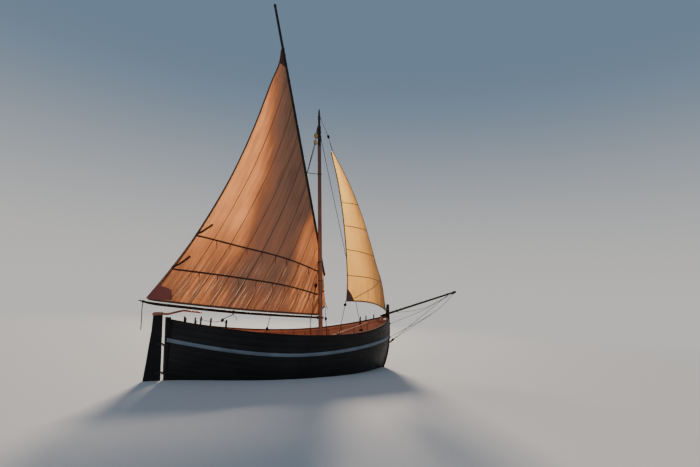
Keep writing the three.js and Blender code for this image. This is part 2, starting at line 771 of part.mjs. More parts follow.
// Halyard of the jib, from the masthead pole through a block to the head of the sail
function jibHalyard() {
  const poleZ = 9478;
  const eyeRadius = snugRadius(mastRadius(poleZ), 8, 20);
  const eye = ring([mastX(poleZ), 0, poleZ], [-rakeAft, 0, 1], eyeRadius, 8, 20);
  const [block, head] = [[837, 0, 8833], [1112, -9, 8220]];
  const between = (a, b, s) => a.map((value, k) => lerp(value, b[k], s));
  const upper = bar([[mastX(poleZ) + eyeRadius, 0, poleZ], block], 7, 6);
  const shell = bar(
    [-0.1, -0.07, 0.09, 0.13].map((s) => between(block, head, s)),
    [12, 36, 36, 12],
    10,
  );
  const lower = bar([block, head], 7, 6);
  return join(eye, upper, shell, lower);
}

// Lashing from the stemhead to the tack of the jib
function jibTack() {
  const band = box([4322, -HALF_SIDING - 14, 2330], [4342 - GAP, HALF_SIDING + 14, 2360]);
  return join(band, bar([[4332, -40, 2345], [JIB_LUFF[0][0] + 2, JIB_LUFF[0][1] - 6, JIB_LUFF[0][2] - 4]], 9, 6));
}

function stowedOar() {
  const [aft, forward] = [[1790, 1222, 951], [3712, 455, 1730]];
  const path = [0, 0.55, 0.62, 0.7, 1].map((s) => aft.map((value, k) => lerp(value, forward[k], s)));
  return cut(bar(path, [34, 34, 29, 23, 18], 8), deckSlab(WELL_FORWARD, 3100, GAP, 400));
}

// Rudder and its irons, in a frame whose Z is the hinge axis
const sternFrame = new THREE.Group();
sternFrame.position.set(HINGE_X, 0, 0);
sternFrame.rotation.set(0, -Math.atan(RUDDER_RAKE), 0);
boat.add(sternFrame);
const BLADE_HALF = 28;
const RUDDER_TOP = 1840;
const IRON_THICK = 8;
const IRON_LEVELS = [{ name: "upper", z: 1005 }, { name: "middle", z: 210 }, { name: "lower", z: -380 }];

function rudderBlade() {
  const outline = [
    [-HINGE_GAP, RUDDER_TOP], [-300, RUDDER_TOP], [-332, 1400], [-388, 990], [-446, 527], [-515, 60], [-600, -450],
    [-635, -780], [-600, -1000], [-500, -1060], [-135, -1060], [-HINGE_GAP, -900],
  ];
  return extrudeY(outline, BLADE_HALF);
}

const ROD_X = 29;

// Iron on the sternpost. The upper one has a rod beside the hinge axis, down to the next one.
function gudgeon(z, rodFoot) {
  const [height, half] = [40, POST_HALF + GAP + IRON_THICK];
  const bridge = box([8, -half, z - height], [HINGE_GAP - GAP, half, z]);
  const arms = [-1, 1].map((side) => {
    const [inner, outer] = [side * (POST_HALF + GAP), side * half];
    return box([10, Math.min(inner, outer), z - height], [118, Math.max(inner, outer), z]);
  });
  const eye = post(0, 0, z - height, z, 25, 25, 16);
  const rods = rodFoot === undefined ? [] : [post(ROD_X, 0, rodFoot, z - 5, 10, 10, 10)];
  return cut(join(bridge, eye, ...arms, ...rods), post(0, 0, z - height - 5, z + 5, 14, 14, 16));
}

function rudderIron(z) {
  const [low, high] = [z + 1, z + 41];
  const half = BLADE_HALF + GAP + IRON_THICK;
  const bridge = box([-HINGE_GAP + GAP, -half, low], [-4, half, high]);
  const arms = [-1, 1].map((side) => {
    const [inner, outer] = [side * (BLADE_HALF + GAP), side * half];
    return box([-228, Math.min(inner, outer), low], [-10, Math.max(inner, outer), high]);
  });
  return join(bridge, ...arms, post(0, 0, z - 55, high, 11, 11, 12));
}

// Tiller: a head block on the rudder and an S-shaped bar, x and z in the same frame
const TILLER_LINE = [[-150, 1888], [107, 1862], [306, 1897], [557, 1936], [812, 1902], [1105, 1858]];

function tiller() {
  const curve = new THREE.CatmullRomCurve3(TILLER_LINE.map(([x, z]) => new THREE.Vector3(x, 0, z)));
  const path = curve.getPoints(15).map((p) => p.toArray());
  const radii = path.map((_, i) => lerp(31, 21, i / 15));
  const base = RUDDER_TOP + GAP;
  const block = extrudeY(
    [[-325, base], [-30, base], [-30, base + 66], [-66, base + 90], [-290, base + 90], [-325, base + 62]],
    46,
  );
  return join(bar(path, radii, 8), block);
}

// Rig, in a frame on the mast axis: x forward, y port, z up along the mast
const rig = new THREE.Group();
rig.position.set(MAST_X, 0, MAST_Z);
rig.rotation.set(0, -MAST_RAKE, RIG_SWING);
boat.add(rig);

const SPAR_SIDES = 10;
const YARD_SLOPE = (YARD_PEAK[0] - YARD_FOOT[0]) / (YARD_PEAK[1] - YARD_FOOT[1]);
const yardForward = (h) => lerp(YARD_FOOT[0], YARD_PEAK[0], (h - YARD_FOOT[1]) / (YARD_PEAK[1] - YARD_FOOT[1]));

// Height along the mast and radius of the yard
const YARD_PROFILE = [[YARD_FOOT[1], 30], [2250, 38], [4000, 46], [6000, YARD_RADIUS], [8500, 49], [10500, 48],
  [11980, 45], [12000, 52], [12060, 50], [YARD_PEAK[1], 30]];

function yard() {
  return bar(
    YARD_PROFILE.map(([h]) => [yardForward(h), RIG_OFFSET, h]),
    YARD_PROFILE.map(([, radius]) => radius),
    SPAR_SIDES,
  );
}

// Boom: forward position, height along the mast, radius
const BOOM_LINE = [[300, 592, 24], [260, 597, BOOM_RADIUS], [-3360, 1050, 43], [-5900, 1380, 38], [-6150, 1425, 29],
  [-6390, 1495, 13]];

function boom() {
  return bar(
    BOOM_LINE.map(([x, h]) => [x, RIG_OFFSET, h]),
    BOOM_LINE.map(([, , radius]) => radius),
    SPAR_SIDES,
  );
}

// Height of the boom's axis along the mast, and its radius
const boomHeight = (x) => profileAt(BOOM_LINE.map(([at, h]) => [-at, h]), -x);
const boomRadius = (x) => profileAt(BOOM_LINE.map(([at, , radius]) => [-at, radius]), -x);

// Strops that hold the spars to the mast: rings about the mast and about the spar
function strop(h, sparX, sparRadius, sparDirection) {
  const thick = 12;
  const sides = 2 * SPAR_SIDES; // its corners face the spar's
  const mastRing = snugRadius(mastRadius(MAST_Z + h * Math.cos(MAST_RAKE)), thick, sides);
  const sparRing = sparRadius + GAP + thick;
  const aroundMast = ring([0, 0, h], [0, 0, 1], mastRing, thick, sides);
  const aroundSpar = ring([sparX, RIG_OFFSET, h], sparDirection, sparRing, thick, sides);
  const from = new THREE.Vector3(0, 0, h);
  const toward = new THREE.Vector3(sparX, RIG_OFFSET, h).sub(from).normalize();
  const start = from.clone().addScaledVector(toward, mastRing);
  const distance = Math.hypot(sparX, RIG_OFFSET) - sparRing;
  const tie = bar([start.toArray(), from.clone().addScaledVector(toward, distance).toArray()], thick, 6);
  return join(aroundMast, aroundSpar, tie);
}

function mainsail() {
  const tack = [380, 1020];
  const luffTop = [300, 2230];
  const headH = 10460;
  const lacing = 1;
  const yardEdge = (h) => {
    const flat = profileAt(YARD_PROFILE, h) * Math.cos(Math.PI / SPAR_SIDES);
    return [yardForward(h) - (flat + lacing) * Math.hypot(1, YARD_SLOPE), h];
  };
  const clew = [-6185, 1545];
  // Leech, hollow, from the clew to the head: forward position and height
  const leech = new THREE.CatmullRomCurve3(
    [clew, [-5510, 2390], [-4800, 3390], [-3720, 5240], [-2860, 7110], [-2140, 9060], [-1760, 9910],
      [yardEdge(headH)[0] - 24, headH - 8]].map(([x, h]) => new THREE.Vector3(x, 0, h)),
  );
  const front = (up) => {
    const luffShare = 0.13;
    if (up < luffShare) {
      return [lerp(tack[0], luffTop[0], up / luffShare), lerp(tack[1], luffTop[1], up / luffShare)];
    }
    const h = lerp(luffTop[1], headH, (up - luffShare) / (1 - luffShare));
    return [Math.min(yardEdge(h)[0], luffTop[0]), h];
  };
  const columns = [0, 0.03, 0.055, 0.1, 0.17, 0.26, 0.37, 0.5, 0.64, 0.78, 0.9, 1];
  const rows = 16;
  const footGap = 97;
  const face = (offset) =>
    Array.from({ length: rows + 1 }, (_, r) => {
      const up = r / rows;
      const [fx, fh] = front(up);
      const aft = leech.getPointAt(up);
      return columns.map((w) => {
        const x = lerp(fx, aft.x, w);
        let h = lerp(fh, aft.z, w);
        if (w > 0 && w < 1) {
          const straight = lerp(tack[1], clew[1], (tack[0] - x) / (tack[0] - clew[0]));
          const ahead = x < 0 ? 1 : (tack[0] - x) / tack[0];
          const dip = (boomHeight(Math.min(x, 0)) + footGap - straight) * ahead;
          h += Math.min(dip, 0) * (1 - up) ** 8;
        }
        const lead = Math.min(fx, -130); // flat on the yard, and beside the mast
        const behind = clamp((lead - x) / (lead - aft.x), 0, 1);
        const belly = 0.055 * Math.max(fx - aft.x, 0) * Math.sin(Math.PI * behind ** 0.8);
        return [x, RIG_OFFSET - belly + offset, h];
      });
    });
  return plate(face(SAIL_THICK / 2), face(-SAIL_THICK / 2));
}

const STROP_HEIGHT = 6000; // where the halyard takes the yard

// Room in the sail's edge for the strop round the yard
function stropRoom() {
  const [halfHeight, radius] = [14, YARD_RADIUS + 26];
  const ends = [-halfHeight, halfHeight].map((dh) => [yardForward(STROP_HEIGHT + dh), RIG_OFFSET, STROP_HEIGHT + dh]);
  return bar(ends, radius, 2 * SPAR_SIDES);
}

// Put the boat together

add("hull_shell", hullShell(), HULL_BLACK);
add("keel", keel(), HULL_BLACK);
add("stem", stem(), RAIL_DARK);
add("sternpost", sternpost(), HULL_BLACK);
for (const [name, side] of [["port", 1], ["starboard", -1]]) {
  add(`rubbing_strake_${name}`, rubbingStrake(side), STRAKE_PALE);
  add(`raised_side_${name}`, raisedSide(side), HULL_BLACK);
  add(`cap_rail_${name}`, capRail(side), RAIL_DARK);
  add(`side_deck_${name}`, sideDeck(side), DECK_WOOD);
}
const mastHole = mastShape(6);
add("foredeck", cut(endDeck(WELL_FORWARD, 4330), mastHole), DECK_WOOD);
add("aft_deck", endDeck(-4250, WELL_AFT), DECK_WOOD);
add("coaming", coaming(), INNER_RED);
add("frames_and_keelson", framesAndKeelson(), DECK_WOOD);
add("floorboards", floorboards(), DECK_WOOD);
THWARTS.forEach((x, i) => add(`thwart_${i + 1}`, thwart(x), DECK_WOOD));
add("mast", mastShape(), SPAR_RED);
add("mast_step", mastStep(), DECK_WOOD);
add("mast_partner", mastPartner(), DECK_WOOD);
STAYS.forEach((item) => add(item.name, stay(item), ROPE));
add("bowsprit", bowspritShape(), SPAR_DARK);
add("breasthook", breasthook(), RAIL_DARK);
add("gammon_iron", gammonIron(), IRON);
add("bobstay", bobstay(), ROPE);
add("jib", jib(), JIB_CREAM);
add("jib_sheet", jibSheet(), ROPE);
add("jib_halyard", jibHalyard(), ROPE);
add("jib_tack", jibTack(), ROPE);
add("stowed_oar", stowedOar(), LIGHT_WOOD);
const [, middleIron] = IRON_LEVELS;
for (const { name, z } of IRON_LEVELS) {
  const rodFoot = name === "upper" ? middleIron.z + GAP : undefined;
  add(`gudgeon_${name}`, gudgeon(z, rodFoot), IRON, sternFrame);
  add(`rudder_iron_${name}`, rudderIron(z), IRON, sternFrame);
}
add("rudder_blade", rudderBlade(), HULL_BLACK, sternFrame);
add("tiller", tiller(), SPAR_RED, sternFrame);
add("yard", yard(), SPAR_DARK, rig);
add("boom", boom(), SPAR_DARK, rig);
add("mainsail", cut(mainsail(), stropRoom()), SAIL_TAN, rig);
add("yard_strop", strop(STROP_HEIGHT, yardForward(STROP_HEIGHT), YARD_RADIUS, [YARD_SLOPE, 0, 1]), ROPE, rig);
add("boom_strop", strop(boomHeight(0), 0, boomRadius(0), [-1, 0, 0.125]), ROPE, rig);

export default boat;
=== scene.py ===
# Falkusa under sail: planked hull, open well, hung rudder, lateen mainsail and jib.
# Metres, +X to the bow, +Y to port, +Z up. Tables of the hull and rig are in millimetres.
import bpy
import bmesh
import math
from mathutils import Matrix, Vector, noise


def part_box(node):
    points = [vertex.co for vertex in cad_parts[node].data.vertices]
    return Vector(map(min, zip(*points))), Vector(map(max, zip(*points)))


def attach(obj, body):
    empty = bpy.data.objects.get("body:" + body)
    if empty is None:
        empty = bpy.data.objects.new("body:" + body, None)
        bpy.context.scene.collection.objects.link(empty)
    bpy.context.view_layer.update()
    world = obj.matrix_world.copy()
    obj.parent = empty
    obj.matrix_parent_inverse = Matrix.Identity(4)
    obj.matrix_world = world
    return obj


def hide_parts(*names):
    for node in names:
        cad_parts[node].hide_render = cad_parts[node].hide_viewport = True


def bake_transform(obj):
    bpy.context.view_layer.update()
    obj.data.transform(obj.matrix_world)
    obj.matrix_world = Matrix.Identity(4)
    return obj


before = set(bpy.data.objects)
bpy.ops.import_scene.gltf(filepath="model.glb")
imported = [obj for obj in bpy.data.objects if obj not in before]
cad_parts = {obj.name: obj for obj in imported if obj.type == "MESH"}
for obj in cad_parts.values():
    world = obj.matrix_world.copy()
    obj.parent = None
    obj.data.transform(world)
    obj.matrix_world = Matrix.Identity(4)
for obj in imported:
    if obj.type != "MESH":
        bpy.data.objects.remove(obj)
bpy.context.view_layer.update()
mm = 0.001


# Small helpers for numbers and curves

def lerp(a, b, t):
    return a + (b - a) * t


def clamp(value, low=0.0, high=1.0):
    return max(low, min(high, value))


def ease(low, high, value):  # smooth step from 0 to 1
    t = clamp((value - low) / (high - low))
    return t * t * (3 - 2 * t)


def mix(p, q, t):
    return tuple(lerp(a, b, t) for a, b in zip(p, q))


def spread(low, high, count):
    return [lerp(low, high, i / (count - 1)) for i in range(count)]


def tableAt(table, place, column=1):  # rows in rising order of their first column
    for low, high in zip(table, table[1:]):
        if place <= high[0] or high is table[-1]:
            return lerp(low[column], high[column], (place - low[0]) / (high[0] - low[0]))


def smoothPath(points, count):
    # Even points on a centripetal spline.
    knots = [Vector(p) for p in points]
    knots = [knots[0] * 2 - knots[1], *knots, knots[-1] * 2 - knots[-2]]
    fine = []
    for p0, p1, p2, p3 in zip(knots, knots[1:], knots[2:], knots[3:]):
        d0, d1, d2 = [max((b - a).length ** 0.5, 1e-6) for a, b in ((p0, p1), (p1, p2), (p2, p3))]
        t1 = ((p1 - p0) / d0 - (p2 - p0) / (d0 + d1) + (p2 - p1) / d1) * d1
        t2 = ((p2 - p1) / d1 - (p3 - p1) / (d1 + d2) + (p3 - p2) / d2) * d1
        for t in spread(0, 1, 25)[:-1]:
            fine.append(p1 * (2 * t**3 - 3 * t**2 + 1) + t1 * (t**3 - 2 * t**2 + t)
                        + p2 * (3 * t**2 - 2 * t**3) + t2 * (t**3 - t**2))
    return evenPoints([*fine, knots[-2]], count)


def evenPoints(points, count):
    points = [Vector(p) for p in points]
    lengths = [0.0]
    for a, b in zip(points, points[1:]):
        lengths.append(lengths[-1] + (b - a).length)
    result, k = [], 0
    for i in range(count):
        goal = lengths[-1] * i / (count - 1)
        while k < len(points) - 2 and lengths[k + 1] < goal:
            k += 1
        share = (goal - lengths[k]) / max(lengths[k + 1] - lengths[k], 1e-9)
        result.append(points[k].lerp(points[k + 1], share))
    return result


# Materials

def addNode(tree, kind, where=None, **settings):
    node = tree.nodes.new(kind)
    for key, value in settings.items():
        setattr(node, key, value)
    for key, value in (where or {}).items():
        if isinstance(value, bpy.types.NodeSocket):
            tree.links.new(value, node.inputs[key])
        else:
            node.inputs[key].default_value = value
    return node


def maths(tree, operation, *values):
    return addNode(tree, "ShaderNodeMath", dict(enumerate(values)), operation=operation).outputs[0]


def ramp(tree, factor, *stops):  # a plain number is a grey
    node = addNode(tree, "ShaderNodeValToRGB", {"Fac": factor})
    while len(node.color_ramp.elements) < len(stops):
        node.color_ramp.elements.new(0.5)
    for element, (place, colour) in zip(node.color_ramp.elements, stops):
        element.position = place
        element.color = (*colour, 1) if isinstance(colour, tuple) else (colour, colour, colour, 1)
    return node.outputs["Color"]


def newMaterial(name, fixed):  # fixed values sit on the shader's own sockets
    material = bpy.data.materials.new(name)
    material.use_nodes = True
    tree = material.node_tree
    tree.nodes.clear()
    shader = addNode(tree, "ShaderNodeBsdfPrincipled", fixed)
    output = addNode(tree, "ShaderNodeOutputMaterial", {"Surface": shader.outputs[0]})
    return material, tree, shader, output


def linked(tree, shader, colour, rough, normal):
    for label, source in (("Base Color", colour), ("Roughness", rough), ("Normal", normal)):
        if source:
            tree.links.new(source, shader.inputs[label])


def scaledNoise(tree, stretch, scale, detail=4, rough=0.55, source="Object"):
    place = addNode(tree, "ShaderNodeTexCoord").outputs[source]
    mapping = addNode(tree, "ShaderNodeMapping", {"Vector": place, "Scale": stretch})
    return addNode(tree, "ShaderNodeTexNoise",
                   {"Vector": mapping.outputs[0], "Scale": scale, "Detail": detail,
                    "Roughness": rough}).outputs["Fac"]


def bumpFrom(tree, height, strength, distance, before=None):
    node = addNode(tree, "ShaderNodeBump", {"Height": height, "Strength": strength, "Distance": distance})
    if before:
        tree.links.new(before, node.inputs["Normal"])
    return node.outputs[0]


def blendColours(tree, factor, a, b, kind="MIX"):
    node = addNode(tree, "ShaderNodeMix", data_type="RGBA", blend_type=kind)
    for place, value in ((0, factor), (6, a), (7, b)):
        if isinstance(value, bpy.types.NodeSocket):
            tree.links.new(value, node.inputs[place])
        else:
            node.inputs[place].default_value = value if isinstance(value, float) else (*value, 1)
    return node.outputs[2]


def paint(name, colour, worn, rough=(0.25, 0.5), coat=0.3, wear=0.62, shine=0.5):
    # Brushed paint over planks: broad fading, worn specks and a brushed surface.
    material, tree, shader, _ = newMaterial(name, {"Specular IOR Level": shine, "Coat Weight": coat,
                                                   "Coat Roughness": 0.18})
    fading = scaledNoise(tree, (1, 1, 1.6), 1.3, 5)
    specks = scaledNoise(tree, (0.35, 1, 1), 34, 6, 0.7)
    dim, bright = [tuple(min(c * share, 1) for c in colour) for share in (0.72, 1.3)]
    base = ramp(tree, fading, (0.3, dim), (0.7, bright))
    mask = ramp(tree, specks, (wear, 0), (wear + 0.07, 1))
    gloss = ramp(tree, scaledNoise(tree, (0.3, 1, 1), 9, 5), (0.3, rough[0]), (0.72, rough[1]))
    brushed = bumpFrom(tree, scaledNoise(tree, (0.08, 1, 1), 90, 3), 0.18, 0.002)
    linked(tree, shader, blendColours(tree, mask, base, worn), gloss, brushed)
    return material


def wood(name, light, dark, stretch=(0.12, 1, 1), scale=26, rough=(0.4, 0.7), coat=0.0, bump=0.35, shine=0.4,
         darker=None):
    # Timber with its grain along the stretched axis, pores and weathered patches.
    material, tree, shader, _ = newMaterial(name, {"Specular IOR Level": shine, "Coat Weight": coat,
                                                   "Coat Roughness": 0.22})
    grain = scaledNoise(tree, stretch, scale, 8, 0.62)
    patches = scaledNoise(tree, (0.5, 1, 1), 2.2, 3)
    colour = ramp(tree, grain, (0.33, dark), (0.52, mix(dark, light, 0.6)), (0.7, light))
    aged = ramp(tree, patches, (0.3, (0.62, 0.6, 0.58)), (0.7, (1.12, 1.1, 1.08)))
    colour = blendColours(tree, 0.75, colour, aged, "MULTIPLY")
    if darker:  # weathered darker from one height to another
        place = addNode(tree, "ShaderNodeTexCoord").outputs["Object"]
        height = addNode(tree, "ShaderNodeSeparateXYZ", {0: place}).outputs["Z"]
        up = addNode(tree, "ShaderNodeMapRange", {0: height, 1: darker[0], 2: darker[1]})
        colour = blendColours(tree, up.outputs[0], colour, dark)
    gloss = ramp(tree, grain, (0.35, rough[1]), (0.65, rough[0]))
    linked(tree, shader, colour, gloss, bumpFrom(tree, grain, bump, 0.0025))
    return material


def ropeFinish(name, light, dark):
    # Hemp: fibres and tar stains on the laid strands.
    material, tree, shader, _ = newMaterial(name, {"Roughness": 0.9, "Specular IOR Level": 0.25})
    fibres = scaledNoise(tree, (1, 1, 1), 170, 4, 0.6)
    stains = ramp(tree, scaledNoise(tree, (1, 1, 1), 5, 2), (0.3, 0.6), (0.7, 1.2))
    colour = blendColours(tree, 0.6, ramp(tree, fibres, (0.3, dark), (0.7, light)), stains, "MULTIPLY")
    linked(tree, shader, colour, None, bumpFrom(tree, fibres, 0.5, 0.002))
    return material


def ironFinish(name, colour, rust):
    material, tree, shader, _ = newMaterial(name, {"Metallic": 0.6})
    hammered = scaledNoise(tree, (1, 1, 1), 30, 4)
    bloom = scaledNoise(tree, (1, 1, 0.5), 60, 6, 0.7)
    mask = ramp(tree, bloom, (0.55, 0), (0.68, 1))
    linked(tree, shader, blendColours(tree, mask, colour, rust), ramp(tree, bloom, (0.4, 0.42), (0.7, 0.8)),
           bumpFrom(tree, hammered, 0.4, 0.003))
    return material


# The glint values place and colour the painted highlights on the sail's folds.
canvasValues = {"streak": (9, 0.55), "cloud": (1.1, 0.7), "fine": (46, 1.6), "glint": (52, 0.9),
                "paintedGlintColour": (1.0, 0.8, 0.55), "weave": 900.0, "slubs": (60, 60, 60)}


def canvas(name, shades, glow):
    # Sailcloth: broad tone from the piece's own tone attribute, which carries painted light and shade;
    # streaks along the cloths that paint the light and shade of folds; painted highlights on the folds;
    # weave; and light that comes through from behind. The map runs across the cloths in u and along them in
    # v.
    material, tree, shader, output = newMaterial(name, {"Roughness": 0.85, "Specular IOR Level": 0.2,
                                                        "Sheen Weight": 0.2, "Sheen Roughness": 0.5})

    def clothNoise(kind, detail, rough=0.5):
        return scaledNoise(tree, (*canvasValues[kind], 1), 1.0, detail, rough, "UV")

    tone, paintedFoldLight = [addNode(tree, "ShaderNodeAttribute", attribute_name=label).outputs["Fac"]
                    for label in ("tone", "paintedFoldLight")]
    depth = maths(tree, "MULTIPLY_ADD", paintedFoldLight, 1.1, 0.3)  # painted light and shade of folds: streaks are strongest in the creased cloth
    total = maths(tree, "MULTIPLY_ADD", maths(tree, "ADD", clothNoise("streak", 6, 0.62), -0.5), depth, tone)
    total = maths(tree, "MULTIPLY_ADD", clothNoise("cloud", 4), 0.34, total)
    total = maths(tree, "MULTIPLY_ADD", clothNoise("fine", 3), 0.12, total)
    total = maths(tree, "SUBTRACT", total, 0.23)  # takes out the means of the two noises
    # Painted highlights on the folds, blended towards cream where the fold value is high.
    paintedGlintMask = addNode(tree, "ShaderNodeMapRange", {0: paintedFoldLight, 1: 0.5, 2: 0.9}).outputs[0]
    paintedGlints = maths(tree, "MULTIPLY", ramp(tree, clothNoise("glint", 2), (0.6, 0), (0.66, 1)), paintedGlintMask)
    colour = blendColours(tree, paintedGlints, ramp(tree, total, *shades), canvasValues["paintedGlintColour"])
    cloth = addNode(tree, "ShaderNodeTexCoord").outputs["UV"]
    threads = addNode(tree, "ShaderNodeTexWave", {"Vector": cloth, "Scale": canvasValues["weave"]},
                      bands_direction="DIAGONAL").outputs["Fac"]
    slubs = scaledNoise(tree, canvasValues["slubs"], 2.0, 2, 0.5, "UV")
    woven = bumpFrom(tree, slubs, 0.25, 0.002, bumpFrom(tree, threads, 0.12, 0.0008))
    linked(tree, shader, colour, None, woven)
    through = addNode(tree, "ShaderNodeBsdfTranslucent", {"Color": colour})
    both = addNode(tree, "ShaderNodeMixShader", {"Fac": glow, 1: shader.outputs[0], 2: through.outputs[0]})
    tree.links.new(both.outputs[0], output.inputs["Surface"])
    return material


hullBlack = paint("hullBlack", (0.0115, 0.0108, 0.0115), (0.02, 0.014, 0.01), (0.42, 0.6), 0.0, 0.68, 0.14)
# White strake given the dark blue-grey of its shaded side: painted shade.
strakeShadedWhite = paint("strakeShadedWhite", (0.112, 0.142, 0.175), (0.06, 0.07, 0.08), (0.45, 0.65), 0.0, 0.62, 0.3)
innerRed = paint("innerRed", (0.58, 0.22, 0.12), (0.25, 0.09, 0.055), (0.4, 0.65), 0.05, 0.6)
timberRed = paint("timberRed", (0.34, 0.12, 0.07), (0.14, 0.055, 0.035), (0.5, 0.7), 0.0, 0.6)
caulk = paint("caulk", (0.012, 0.011, 0.01), (0.03, 0.026, 0.022), (0.6, 0.8), 0.0, 0.7)
railDark = wood("railDark", (0.06, 0.028, 0.02), (0.02, 0.011, 0.009), rough=(0.9, 1.0), shine=0.02)
deckWood = wood("deckWood", (0.34, 0.17, 0.085), (0.13, 0.06, 0.032), rough=(0.5, 0.8))
innerWood = wood("innerWood", (0.2, 0.09, 0.048), (0.075, 0.036, 0.022), rough=(0.5, 0.8))
sparRed = wood("sparRed", (0.37, 0.145, 0.085), (0.11, 0.045, 0.03), (1, 1, 0.06), 30, (0.35, 0.55), 0.05,
               0.2, 0.25, (4.6, 7.6))
tillerRed = wood("tillerRed", (0.4, 0.14, 0.065), (0.16, 0.05, 0.028), (0.1, 1, 1), 40,
                 (0.25, 0.45), 0.35, 0.2)
sparDark = wood("sparDark", (0.035, 0.022, 0.017), (0.01, 0.008, 0.007), (0.3, 1, 0.3), 30, (0.5, 0.75), 0.0,
                0.3, 0.15)
lightWood = wood("lightWood", (0.62, 0.34, 0.17), (0.34, 0.16, 0.075), (0.12, 0.4, 0.3), 30, (0.4, 0.6), 0.1)
oarPale = wood("oarPale", (1.0, 0.64, 0.46), (0.8, 0.46, 0.32), (0.12, 0.4, 0.3), 30, (0.4, 0.6), 0.1)
# Golden wood of the halyard blocks: their wood colour with a painted highlight of the sun's glints worked in.
blockGoldHighlight = wood("blockGoldHighlight", (0.62, 0.33, 0.08), (0.16, 0.07, 0.02), (1, 1, 0.4), 40, (0.3, 0.5), 0.3)
ironBlack = ironFinish("ironBlack", (0.025, 0.025, 0.027), (0.11, 0.04, 0.018))
ropeTarred = ropeFinish("ropeTarred", (0.06, 0.042, 0.03), (0.018, 0.013, 0.01))
ropeHemp = ropeFinish("ropeHemp", (0.34, 0.24, 0.15), (0.14, 0.095, 0.06))
# The stops of both sails run from painted shade to painted backlit brightness over the cloth's own tan and
# cream.
sailTan = canvas("sailTan", [(0.0, (0.2, 0.13, 0.1)), (0.3, (0.34, 0.22, 0.16)), (0.46, (0.42, 0.245, 0.165)),
                             (0.62, (0.5, 0.27, 0.15)), (0.82, (0.75, 0.42, 0.21)),
                             (1.0, (0.97, 0.62, 0.31))], 0.55)
jibCream = canvas("jibCream",
                  [(0.0, (0.2, 0.115, 0.06)), (0.35, (0.5, 0.33, 0.18)), (0.65, (0.86, 0.6, 0.27)),
                   (1.0, (1.0, 0.79, 0.37))], 0.75)
sewnCloths = {"bandBrown": ((0.07, 0.03, 0.022), (0.18, 0.075, 0.05), 0.25),
              "patchMaroon": ((0.42, 0.14, 0.115), (0.6, 0.26, 0.2), 0.5),
              "jibPatch": ((0.15, 0.08, 0.065), (0.3, 0.17, 0.13), 0.4),
              "seamTan": ((0.18, 0.085, 0.05), (0.5, 0.26, 0.15), 0.4),
              "seamCream": ((0.24, 0.13, 0.07), (0.52, 0.32, 0.18), 0.3)}
bandBrown, patchMaroon, jibPatch, seamTan, seamCream = [
    canvas(name, [(0.0, dark), (1.0, light)], glow) for name, (dark, light, glow) in sewnCloths.items()]
print("materials ready")


# Meshes and pieces

def newObject(name, mesh):
    item = bpy.data.objects.new(name, mesh)
    bpy.context.scene.collection.objects.link(item)
    return item


def dropShapes(*shapes):
    for shape in shapes:
        old = shape.data
        bpy.data.objects.remove(shape)
        bpy.data.meshes.remove(old)


def workOn(*meshes):
    work = bmesh.new()
    for mesh in meshes:
        work.from_mesh(mesh)
    return work


def workDone(work, mesh):
    work.to_mesh(mesh)
    work.free()


def shadeByAngle(mesh, degrees):
    work = workOn(mesh)
    for face in work.faces:
        face.smooth = True
    for edge in work.edges:
        edge.smooth = len(edge.link_faces) == 2 and edge.calc_face_angle(0) < math.radians(degrees)
    workDone(work, mesh)


def fromWork(name, work, material, degrees):
    mesh = bpy.data.meshes.new(name)
    workDone(work, mesh)
    mesh.materials.append(material)
    shadeByAngle(mesh, degrees)
    return newObject(name, mesh)


def meshFrom(name, points, faces, materials, picks=None, uvs=None, angle=38, unit=mm):
    mesh = bpy.data.meshes.new(name)
    mesh.from_pydata([tuple(c * unit for c in p) for p in points], [], faces)
    for material in materials:
        mesh.materials.append(material)
    if picks:
        mesh.polygons.foreach_set("material_index", picks)
    if uvs:
        layer = mesh.uv_layers.new(name="map")
        for loop in mesh.loops:
            layer.data[loop.index].uv = uvs[loop.vertex_index]
    work = workOn(mesh)
    bmesh.ops.recalc_face_normals(work, faces=work.faces)
    workDone(work, mesh)
    shadeByAngle(mesh, angle)
    return mesh


def settle(piece, body, replaces=()):
    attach(piece, body)
    if replaces:
        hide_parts(*replaces)
    return piece


def joined(name, objects):
    # One object from several, with their materials.
    mesh = bpy.data.meshes.new(name)
    work = bmesh.new()
    for item in objects:
        picks = []
        for material in item.data.materials:
            if material not in mesh.materials[:]:
                mesh.materials.append(material)
            picks.append(mesh.materials[:].index(material))
        first = len(work.faces)
        work.from_mesh(item.data)
        work.faces.ensure_lookup_table()
        for face in work.faces[first:]:
            face.material_index = picks[face.material_index] if picks else 0
    workDone(work, mesh)
    dropShapes(*objects)
    return newObject(name, mesh)


def ringFaces(rows, columns, closed=True):
    faces = []
    for r in range(rows - 1):
        for c in range(columns if closed else columns - 1):
            ahead, across = (r + 1) * columns, (c + 1) % columns
            faces.append((r * columns + c, r * columns + across, ahead + across, ahead + c))
    return faces


def lofted(name, rings, material, angle=38, capped=True, unit=mm):
    count = len(rings[0])
    points = [p for ring in rings for p in ring]
    faces = ringFaces(len(rings), count)
    if capped:
        faces += [tuple(range(count - 1, -1, -1)), tuple(range(len(points) - count, len(points)))]
    return newObject(name, meshFrom(name, points, faces, [material], angle=angle, unit=unit))


def roundBar(name, path, radii, material, sides=24, unit=mm, capped=True):
    points = [Vector(p) for p in path]
    last = len(points) - 1
    tangents = [(points[min(i + 1, last)] - points[max(i - 1, 0)]).normalized() for i in range(len(points))]
    side = Vector((1, 0, 0)) if abs(tangents[0].z) > 0.8 else Vector((0, 0, 1))
    normal = side.cross(tangents[0]).normalized()
    rings = []
    for i, (point, tangent) in enumerate(zip(points, tangents)):
        normal = (normal - tangent * normal.dot(tangent)).normalized()
        other = tangent.cross(normal)
        radius = radii[i] if isinstance(radii, (list, tuple)) else radii
        angles = [2 * math.pi * k / sides for k in range(sides)]
        rings.append([point + normal * radius * math.cos(a) + other * radius * math.sin(a) for a in angles])
    return lofted(name, rings, material, capped=capped, unit=unit)


